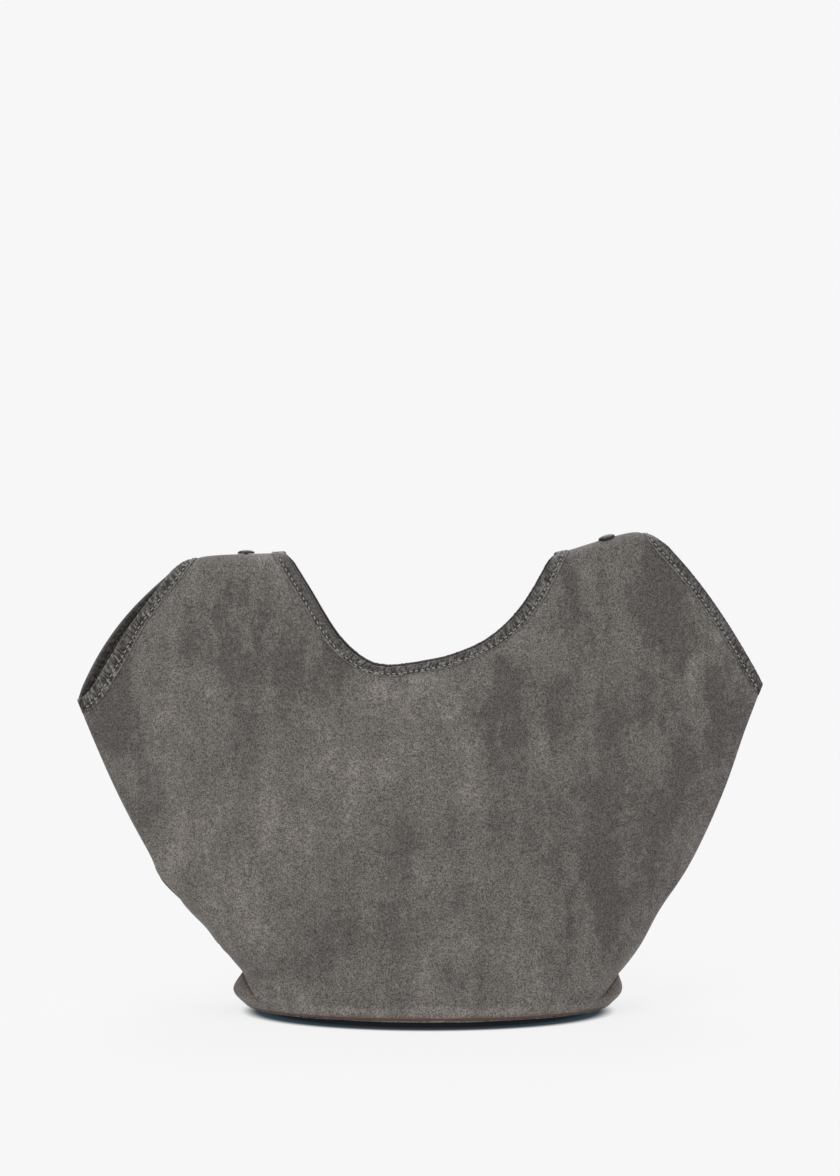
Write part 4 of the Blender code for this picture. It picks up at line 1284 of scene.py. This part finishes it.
def nap_tone(nodes, place, scale, mottle):
    """Broad tone at a scale, with some mottling."""
    return use_group(nodes, "Nap tone", tone_group, place, Scale=scale, Mottle=mottle)["Tone"]


def short_fibres(nodes, place, scale):
    """Height and mask of short fibres at a scale."""
    return use_group(nodes, "Short fibres", fibre_group, place, Scale=scale)


def join_finish(nodes, shader, colour_out, bump, roughness=None):
    """Joins a colour, a bump of some height, distance and strength, and a roughness to the shader."""
    nodes.tree.links.new(colour_out, shader.inputs["Base Color"])
    if roughness is not None:
        nodes.tree.links.new(roughness, shader.inputs["Roughness"])
    node = nodes.add("ShaderNodeBump", dict(zip(("Height", "Distance", "Strength"), bump)))
    nodes.tree.links.new(node.outputs[0], shader.inputs["Normal"])


def band_mask(nodes, value, middle, half):
    """1 at a middle value, falling softly to 0 on both sides of it."""
    away = nodes.math("ABSOLUTE", nodes.math("SUBTRACT", value, middle))
    return nodes.remap(away, 0.0, half, 1.0, 0.0)


# Brushed streaks of the nap, and lighter and darker patches that are partly wear and partly painted light
# and shade: place across, height, half width, half height, strength.
NAP_AND_LIGHT_PATCHES = (
    (0.062, 0.215, 0.024, 0.090, -0.55),
    (-0.132, 0.220, 0.010, 0.100, 0.45),
    (-0.010, 0.290, 0.050, 0.035, 0.60),
    (-0.148, 0.085, 0.060, 0.065, 0.65),
    (0.000, 0.200, 0.100, 0.080, 0.30),
    (-0.079, 0.310, 0.045, 0.050, -0.90),
    (-0.170, 0.360, 0.070, 0.060, -0.60),
    (-0.250, 0.275, 0.030, 0.030, -0.45),
    (0.190, 0.330, 0.160, 0.200, -0.85),
    (0.150, 0.070, 0.120, 0.120, -0.90),
    (-0.150, 0.335, 0.075, 0.055, -1.20),
    (-0.055, 0.245, 0.045, 0.040, -1.00),
    (0.085, 0.262, 0.060, 0.060, -1.10),
    (0.255, 0.260, 0.040, 0.080, -1.20),
    (-0.265, 0.268, 0.030, 0.050, -1.50),
    (-0.110, 0.012, 0.060, 0.040, 1.30),
    (0.045, 0.025, 0.060, 0.040, -1.00),
    (0.010, 0.125, 0.035, 0.040, 0.80),
    (-0.195, 0.236, 0.030, 0.030, 0.60),
    (-0.195, 0.110, 0.030, 0.030, -0.80),
    (0.225, 0.200, 0.035, 0.050, -0.90),
    (-0.120, 0.300, 0.060, 0.040, -0.90),
    (0.060, 0.300, 0.040, 0.030, -0.80),
    (0.105, 0.235, 0.040, 0.040, -0.80),
    (0.245, 0.315, 0.030, 0.040, -1.10),
    (-0.100, 0.240, 0.030, 0.030, -0.80),
    (0.040, 0.045, 0.040, 0.025, -0.90),
    (-0.130, 0.012, 0.035, 0.030, 1.20),
    (0.130, 0.120, 0.060, 0.060, -0.60),
    (0.007, 0.0100, 0.400, 0.007, 1.10),
    (-0.260, 0.302, 0.030, 0.032, -1.10),
    (-0.258, 0.236, 0.030, 0.036, -1.40),
    (0.121, 0.362, 0.034, 0.040, -1.00),
    (0.248, 0.292, 0.032, 0.036, -0.90),
    (-0.200, 0.325, 0.060, 0.040, -0.60),
    (0.200, 0.110, 0.040, 0.040, -0.60),
)

SUEDE_TONE, SUEDE_FIBRES = (8.5, 0.58), 720.0
NAP_RANGE, NAP_ROUGHNESS, NAP_BUMP = (0.475, 1.555), (0.86, 0.98), (0.45 * MM, 0.75)
RAGGED_STRETCH, RAGGED_NOISE, RAGGED_RANGE = (1, 1, 0.3), (42.0, 4.0, 0.6), (0.3, 0.65)
NAP_AND_LIGHT_SHARE = 0.6
HEM_HEIGHT, HEM_LINE = 4.3 * MM, 1.7 * MM
# Share of the painted shade along the feet's folds, and how dark it is against the raw edge colour.
CREASE_SHADE_SHARE, CREASE_SHADE = 0.9, 0.40


def suede_material(look):
    """Brushed suede with streaks in its nap, patches of painted light and shade, painted shade along the
    feet's folds and a raw hem.
    """
    material, shader, nodes, place = new_material(
        "brushed_suede",
        roughness=0.93,
        Specular_IOR_Level=0.22,
        Sheen_Weight=0.22,
        Sheen_Roughness=0.45,
    )
    tone = nap_tone(nodes, place, *SUEDE_TONE)
    fibres = short_fibres(nodes, place, SUEDE_FIBRES)
    parts = nodes.add("ShaderNodeSeparateXYZ", {0: place}).outputs
    ragged = nodes.noise(nodes.stretched(place, RAGGED_STRETCH), *RAGGED_NOISE)
    ragged = nodes.remap(ragged, *RAGGED_RANGE)
    # Each patch lightens or darkens the tone, partly as streaks and wear of the nap, partly as painted light
    # and shade.
    for x, z, half_x, half_z, strength in NAP_AND_LIGHT_PATCHES:
        columns, rows = band_mask(nodes, parts[0], x, half_x), band_mask(nodes, parts[2], z, half_z)
        mask = nodes.math("MULTIPLY", nodes.math("MULTIPLY", columns, rows), ragged)
        tone = nodes.math("MULTIPLY_ADD", mask, strength * NAP_AND_LIGHT_SHARE, tone)
    low = nodes.mix(nodes.remap(tone, 0.0, 0.5), colour4(look.suede_dark), colour4(look.suede))
    colour_out = nodes.mix(nodes.remap(tone, 0.5, 1.0), low, colour4(look.suede_pale))
    speckled = nodes.scaled(colour_out, nodes.remap(fibres["Mask"], 0, 1, *NAP_RANGE))
    # Painted shade along the feet's folds, in a darkened raw edge colour.
    fold_shade_mask = nodes.math("MULTIPLY", nodes.relief(), CREASE_SHADE_SHARE)
    fold_shaded = nodes.mix(fold_shade_mask, speckled, colour4(look.raw_edge, CREASE_SHADE))
    hem = band_mask(nodes, parts[2], HEM_HEIGHT, HEM_LINE)
    edged = nodes.mix(hem, fold_shaded, colour4(look.raw_edge))
    roughness = nodes.remap(fibres["Mask"], 0, 1, *NAP_ROUGHNESS)
    join_finish(nodes, shader, edged, (fibres["Height"], *NAP_BUMP), roughness)
    return material


LEATHER_CREASES, LEATHER_TONE, LEATHER_PORES = 620.0, (16.0, 0.5), 620.0
# Painted shade in the binding's hollows: how dark each colour part grows there.
HOLLOW_SHADE_SHARES = (0.28, 0.21, 0.19)
# Marks over which the painted shade of the hollows fades, and over which the raised folds pale, partly as
# wear and partly as a painted highlight.
HOLLOW_SHADE_MARKS, WORN_AND_LIT_MARKS = (-1.0, 0.25), (0.25, 1.5)
WORN_SHARE = 0.45
TONE_RANGE, PORE_RANGE, LEATHER_ROUGHNESS = (0.65, 1.0), (0.66, 1.36), (0.42, 0.58)
LEATHER_BUMP = (0.12 * MM, 0.7)


def leather_material(look):
    """Binding leather, with painted shade in its hollows, on its nose and on its inner faces, and rubbed
    pale on its folds partly as wear and partly as a painted highlight.
    """
    material, shader, nodes, place = new_material("binding_leather", roughness=0.50, Specular_IOR_Level=0.24)
    creases = use_group(nodes, "Leather creases", crease_group, place, Scale=LEATHER_CREASES)
    tone = nap_tone(nodes, place, *LEATHER_TONE)
    marks = nodes.relief()
    wear = nodes.math("MULTIPLY_ADD", creases["Wear"], WORN_SHARE, WORN_SHARE)
    # Raised folds pale, partly with the wear noise and partly as a painted highlight where they catch the
    # light.
    worn_and_lit = nodes.math("MULTIPLY", nodes.remap(marks, *WORN_AND_LIT_MARKS), wear)
    # Painted shade in the hollows and grooves, from the marks the binding carries.
    hollow_shade = nodes.remap(marks, *HOLLOW_SHADE_MARKS)
    shade = nodes.math("MULTIPLY", hollow_shade, nodes.remap(tone, 0, 1, *TONE_RANGE))
    base = nodes.mix(shade, colour4(look.leather, HOLLOW_SHADE_SHARES), colour4(look.leather))
    coloured = nodes.mix(worn_and_lit, base, colour4(look.leather_worn_and_lit))
    pores = short_fibres(nodes, place, LEATHER_PORES)["Mask"]
    speckled = nodes.scaled(coloured, nodes.remap(pores, 0, 1, *PORE_RANGE))
    roughness = nodes.remap(creases["Wear"], 0, 1, *LEATHER_ROUGHNESS)
    join_finish(nodes, shader, speckled, (creases["Height"], *LEATHER_BUMP), roughness)
    return material


THREAD_FIBRES, THREAD_BUMP = 1500.0, (0.12 * MM, 0.7)
# Darkness of the thread's fibres, and of the painted shade on the stitches inside the tote.
THREAD_SHADE, INSIDE_SHADE = 0.55, 0.20


def thread_material(look):
    """Waxed thread, with painted shade on the stitches inside the tote."""
    material, shader, nodes, place = new_material("waxed_thread", roughness=0.6, Specular_IOR_Level=0.35)
    fibres = short_fibres(nodes, place, THREAD_FIBRES)
    outside = nodes.mix(fibres["Mask"], colour4(look.thread, THREAD_SHADE), colour4(look.thread))
    # Painted shade on the stitches inside the tote.
    both = nodes.mix(nodes.relief(), outside, colour4(look.thread, INSIDE_SHADE))
    join_finish(nodes, shader, both, (fibres["Height"], *THREAD_BUMP))
    return material


SCRATCH_WAY, SCRATCH_NOISE, DULL_NOISE = (0.35, 3.0, 3.0), (900.0, 4.0, 0.7), (160.0, 3.0, 0.6)
DULL_RANGE, METAL_SHADES = (0.35, 0.75), (0.6, 1.3)
SCRATCH_RANGE, METAL_ROUGHNESS, METAL_BUMP = (0.3, 0.8), (0.28, 0.48), (0.02 * MM, 0.4)


def metal_material(look):
    """Dark gunmetal with fine scratches and dull patches."""
    material, shader, nodes, place = new_material("gunmetal", roughness=0.36, Metallic=1.0)
    scratches = nodes.noise(nodes.stretched(place, SCRATCH_WAY), *SCRATCH_NOISE)
    dull = nodes.remap(nodes.noise(place, *DULL_NOISE), *DULL_RANGE)
    coloured = nodes.mix(dull, *(colour4(look.metal, share) for share in METAL_SHADES))
    roughness = nodes.remap(scratches, *SCRATCH_RANGE, *METAL_ROUGHNESS)
    join_finish(nodes, shader, coloured, (scratches, *METAL_BUMP), roughness)
    return material


BOARD_TONE, BOARD_FIBRES, BOARD_BUMP = (30.0, 0.8), 700.0, (0.10 * MM, 0.5)
BOARD_SHADE, BOARD_FIBRE_SHARE = 0.7, 0.3


def board_material(look):
    """Stiffener board with short fibres."""
    material, shader, nodes, place = new_material("stiffener_board", roughness=0.85, Specular_IOR_Level=0.3)
    tone = nap_tone(nodes, place, *BOARD_TONE)
    fibres = short_fibres(nodes, place, BOARD_FIBRES)
    base = nodes.mix(tone, colour4(look.board, BOARD_SHADE), colour4(look.board))
    flecks = nodes.math("MULTIPLY", fibres["Mask"], BOARD_FIBRE_SHARE)
    join_finish(nodes, shader, nodes.mix(flecks, base, colour4(look.board)), (fibres["Height"], *BOARD_BUMP))
    return material


CLOTH_TONE, CLOTH_BUMP = (25.0, 0.5), (0.15 * MM, 0.6)
WEAVE_RADIANS_A_METRE = 7200.0
CLOTH_DARK, CLOTH_PALE, WEAVE_SHARE = 0.6, 1.3, 0.6


def cloth_material(look):
    """Plain woven cloth."""
    material, shader, nodes, place = new_material("cover_cloth", roughness=0.9, Specular_IOR_Level=0.2)
    parts = nodes.add("ShaderNodeSeparateXYZ", {0: place}).outputs
    waves = [nodes.math("SINE", nodes.math("MULTIPLY", part, WEAVE_RADIANS_A_METRE)) for part in parts[:2]]
    weave = nodes.remap(nodes.math("MULTIPLY", *waves), -1.0, 1.0)
    tone = nap_tone(nodes, place, *CLOTH_TONE)
    base = nodes.mix(tone, colour4(look.cloth), colour4(look.cloth, CLOTH_PALE))
    hollows = nodes.math("MULTIPLY", weave, WEAVE_SHARE)
    woven = nodes.mix(hollows, base, colour4(look.cloth, CLOTH_DARK))
    join_finish(nodes, shader, woven, (weave, *CLOTH_BUMP))
    return material


# Stage.
BACKGROUND = (0.930, 0.930, 0.930)
FLOOR_SIZE = 14.0
SHADOW_REACH = 0.42
SHADOW_SHARE = 0.17
# Painted contact shadow on the floor: middle, oval reach, fade, darkness and colours.
PAINTED_SHADOW_PLACE = (7 * MM, -11 * MM, 0)
PAINTED_SHADOW_OVAL = (161 * MM, 87 * MM, 1.0)
PAINTED_SHADOW_FADE = (0.92, 1.03)
PAINTED_SHADOW_SHADES = (0.80, 0.93)
PAINTED_SHADOW_COLOUR, PAINTED_SHADOW_EDGE = (0.012, 0.014, 0.016), (0.038, 0.060, 0.075)
EYE_HEIGHT = 0.369
EYE_DISTANCE = 1.8
LENS_MM = 62.62
SENSOR_MM = 36.0
WORLD_LEVEL = 0.42
# Name, place, target, size in metres and watts.
LAMPS = (
    ("key_lamp", (-1.5, -2.0, 1.9), (0.0, 0.0, 0.2), 1.8, 32.0),
    ("fill_lamp", (1.9, -1.9, 1.2), (0.0, 0.0, 0.2), 2.0, 15.0),
    ("top_lamp", (0.0, 0.3, 2.4), (0.0, 0.0, 0.2), 2.0, 24.0),
    ("back_lamp", (0.3, 2.4, 1.5), (0.0, 0.0, 0.2), 2.0, 20.0),
)


def seen_directly(nodes):
    """1 for rays from the camera, from gloss and through glass."""
    rays = nodes.add("ShaderNodeLightPath").outputs
    first = nodes.math("MAXIMUM", rays["Is Camera Ray"], rays["Is Glossy Ray"])
    return nodes.math("MAXIMUM", first, rays["Is Transmission Ray"])


def cleared(holder):
    """The nodes helper of a material or a world that has no nodes yet."""
    holder.use_nodes = True
    holder.node_tree.nodes.clear()
    return Nodes(holder.node_tree)


def make_floor():
    """A pale floor that fades into the background, with the tote's faint shadow and a painted contact shadow
    in an oval round its bottom.
    """
    material = bpy.data.materials.new("pale_floor")
    nodes = cleared(material)
    white = colour4(BACKGROUND)
    place = nodes.add("ShaderNodeTexCoord").outputs["Object"]
    away = nodes.vector("LENGTH", place)["Value"]
    near = nodes.remap(away, SHADOW_REACH / 2, SHADOW_REACH, SHADOW_SHARE, 0.0)
    matte = nodes.add("ShaderNodeBsdfDiffuse", {"Color": white}).outputs[0]
    # Painted contact shadow: dark inside an oval round the bottom, fading to white.
    middle = nodes.vector("SUBTRACT", place, PAINTED_SHADOW_PLACE)[0]
    oval_place = nodes.vector("MULTIPLY", middle, [1 / reach for reach in PAINTED_SHADOW_OVAL])[0]
    beyond = nodes.vector("LENGTH", oval_place)["Value"]
    depth = nodes.remap(beyond, *PAINTED_SHADOW_SHADES)
    shade = nodes.mix(depth, colour4(PAINTED_SHADOW_COLOUR), colour4(PAINTED_SHADOW_EDGE))
    lit = nodes.mix(nodes.remap(beyond, *PAINTED_SHADOW_FADE), shade, white)
    glow = nodes.add("ShaderNodeEmission", {"Color": lit, "Strength": 1.0}).outputs[0]
    shaded = nodes.add("ShaderNodeBsdfDiffuse", {"Color": lit}).outputs[0]
    seen = nodes.add("ShaderNodeMixShader", {0: near, 1: glow, 2: shaded}).outputs[0]
    both = nodes.add("ShaderNodeMixShader", {0: seen_directly(nodes), 1: matte, 2: seen}).outputs[0]
    nodes.add("ShaderNodeOutputMaterial", {"Surface": both})
    half = FLOOR_SIZE / 2
    mesh = bpy.data.meshes.new("floor")
    corners = [(-half, -half, 0), (half, -half, 0), (half, half, 0), (-half, half, 0)]
    mesh.from_pydata(corners, [], [(0, 1, 2, 3)])
    mesh.materials.append(material)
    floor = place_object("floor", mesh)


def make_world():
    """A world that shows the pale background and lights the tote more dimly."""
    world = bpy.data.worlds.new("studio")
    nodes = cleared(world)
    shown = nodes.add("ShaderNodeBackground", {"Color": colour4(BACKGROUND), "Strength": 1.0}).outputs[0]
    lit = nodes.add("ShaderNodeBackground", {"Color": (1, 1, 1, 1), "Strength": WORLD_LEVEL}).outputs[0]
    both = nodes.add("ShaderNodeMixShader", {0: seen_directly(nodes), 1: lit, 2: shown}).outputs[0]
    nodes.add("ShaderNodeOutputWorld", {"Surface": both})
    bpy.context.scene.world = world


def make_lamps():
    """Soft square lamps that look at the tote."""
    for name, place, target, size, watts in LAMPS:
        lamp = bpy.data.lights.new(name, "AREA")
        lamp.shape = "SQUARE"
        lamp.size = size
        lamp.energy = watts
        holder = place_object(name, lamp)
        holder.location = place
        holder.rotation_euler = (Vector(target) - Vector(place)).to_track_quat("-Z", "Y").to_euler()


def make_camera():
    """A level camera in front of the tote."""
    lens = bpy.data.cameras.new("camera")
    lens.sensor_fit = "AUTO"
    lens.sensor_width = SENSOR_MM
    lens.lens = LENS_MM
    camera = place_object("camera", lens)
    camera.location = (0, -EYE_DISTANCE, EYE_HEIGHT)
    camera.rotation_euler = (math.pi / 2, 0, 0)
    bpy.context.scene.camera = camera


# Operators.
def settings():
    """The tote's shape from the sizes that are set, and its look."""
    scene = bpy.context.scene
    return ToteShape(scene.tote_sizes), scene.tote_look


def finish_of(name, make, look):
    """A material by name, made once."""
    return bpy.data.materials.get(name) or make(look)


def dress(node, material):
    """Gives a piece of the frame another material."""
    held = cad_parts[node]
    held.data.materials.clear()
    held.data.materials.append(material)


def bindings(shape):
    """The lines of the three bindings, from left to right."""
    names = ("left_edge_binding", "neck_edge_binding", "right_edge_binding")
    return [trace_binding(shape, name, part) for part, name in enumerate(names)]


class TOTE_OT_panels(bpy.types.Operator):
    """Build the front and back suede panels"""

    bl_idname = "tote.panels"
    bl_label = "Suede Panels"

    def execute(self, context):
        shape, look = settings()
        suede = finish_of("brushed_suede", suede_material, look)
        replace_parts(make_panel(shape, look, "suede_front", True, suede), "front_panel")
        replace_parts(make_panel(shape, look, "suede_back", False, suede), "back_panel")
        return {"FINISHED"}


class TOTE_OT_bindings(bpy.types.Operator):
    """Build the folded leather bindings of the neck and the side openings"""

    bl_idname = "tote.bindings"
    bl_label = "Bindings"

    def execute(self, context):
        shape, look = settings()
        leather = finish_of("binding_leather", leather_material, look)
        nodes = ("side_binding_left", "neck_binding", "side_binding_right")
        for strip, node in zip(bindings(shape), nodes):
            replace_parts(make_binding(shape, look, strip, leather), node)
        return {"FINISHED"}


class TOTE_OT_stitches(bpy.types.Operator):
    """Sew a row of stitches along each binding"""

    bl_idname = "tote.stitches"
    bl_label = "Stitches"

    def execute(self, context):
        shape, look = settings()
        thread = finish_of("waxed_thread", thread_material, look)
        for strip, name in zip(bindings(shape), ("left_thread", "neck_thread", "right_thread")):
            make_stitches(shape, look, strip, name, thread)
        return {"FINISHED"}


class TOTE_OT_bottom(bpy.types.Operator):
    """Build the oval bottom and the cloth over its board"""

    bl_idname = "tote.bottom"
    bl_label = "Bottom"

    def execute(self, context):
        shape, look = settings()
        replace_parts(make_bottom(shape, finish_of("brushed_suede", suede_material, look)), "base_panel")
        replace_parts(make_cover(shape, cloth_material(look)), "base_lining")
        dress("base_board", board_material(look))
        return {"FINISHED"}


class TOTE_OT_strips(bpy.types.Operator):
    """Build the leather strips inside the shoulders"""

    bl_idname = "tote.strips"
    bl_label = "Shoulder Strips"

    def execute(self, context):
        shape, look = settings()
        leather = finish_of("binding_leather", leather_material, look)
        for word, side in (("left", shape.left), ("right", shape.right)):
            strip = make_strip(shape, look, word + "_shoulder_strip", side, leather)
            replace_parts(strip, "shoulder_patch_" + word)
        return {"FINISHED"}


class TOTE_OT_rivets(bpy.types.Operator):
    """Build the domed rivet caps on the shoulders"""

    bl_idname = "tote.rivets"
    bl_label = "Rivets"

    def execute(self, context):
        shape, look = settings()
        metal = finish_of("gunmetal", metal_material, look)
        for word, side, part in zip(("left", "right"), (shape.left, shape.right), RIVET_SHARES):
            cap = make_cap(shape, word + "_rivet_cap", side, part, metal)
            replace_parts(cap, "rivet_cap_" + word)
            dress("rivet_post_" + word, metal)
        return {"FINISHED"}


class TOTE_OT_stage(bpy.types.Operator):
    """Set the pale floor, the soft lamps and the camera"""

    bl_idname = "tote.stage"
    bl_label = "Stage"

    def execute(self, context):
        bpy.context.scene.view_settings.view_transform = "Standard"
        make_floor()
        make_world()
        make_lamps()
        make_camera()
        return {"FINISHED"}


OPERATORS = (
    TOTE_OT_panels,
    TOTE_OT_bindings,
    TOTE_OT_stitches,
    TOTE_OT_bottom,
    TOTE_OT_strips,
    TOTE_OT_rivets,
    TOTE_OT_stage,
)


class TOTE_PT_tote(bpy.types.Panel):
    """Sizes, colours and steps of the tote"""

    bl_idname = "TOTE_PT_tote"
    bl_label = "Suede Shopper Tote"
    bl_space_type = "VIEW_3D"
    bl_region_type = "UI"
    bl_category = "Tote"

    def draw(self, context):
        for operator in OPERATORS:
            self.layout.operator(operator.bl_idname)
        for holder in (context.scene.tote_sizes, context.scene.tote_look):
            box = self.layout.box()
            for name in holder.__class__.__annotations__:
                box.prop(holder, name)


CLASSES = (ToteSizes, ToteLook, *OPERATORS, TOTE_PT_tote)


def register():
    """Makes the tote's sizes, looks, steps and panel known."""
    for held in CLASSES:
        bpy.utils.register_class(held)
    bpy.types.Scene.tote_sizes = PointerProperty(type=ToteSizes)
    bpy.types.Scene.tote_look = PointerProperty(type=ToteLook)


def unregister():
    """Takes them away again."""
    del bpy.types.Scene.tote_look
    del bpy.types.Scene.tote_sizes
    for held in reversed(CLASSES):
        bpy.utils.unregister_class(held)


def main():
    """Dresses the whole tote."""
    register()
    bpy.ops.tote.panels()
    bpy.ops.tote.bindings()
    bpy.ops.tote.stitches()
    bpy.ops.tote.bottom()
    bpy.ops.tote.strips()
    bpy.ops.tote.rivets()
    bpy.ops.tote.stage()


if __name__ == "__main__":
    main()
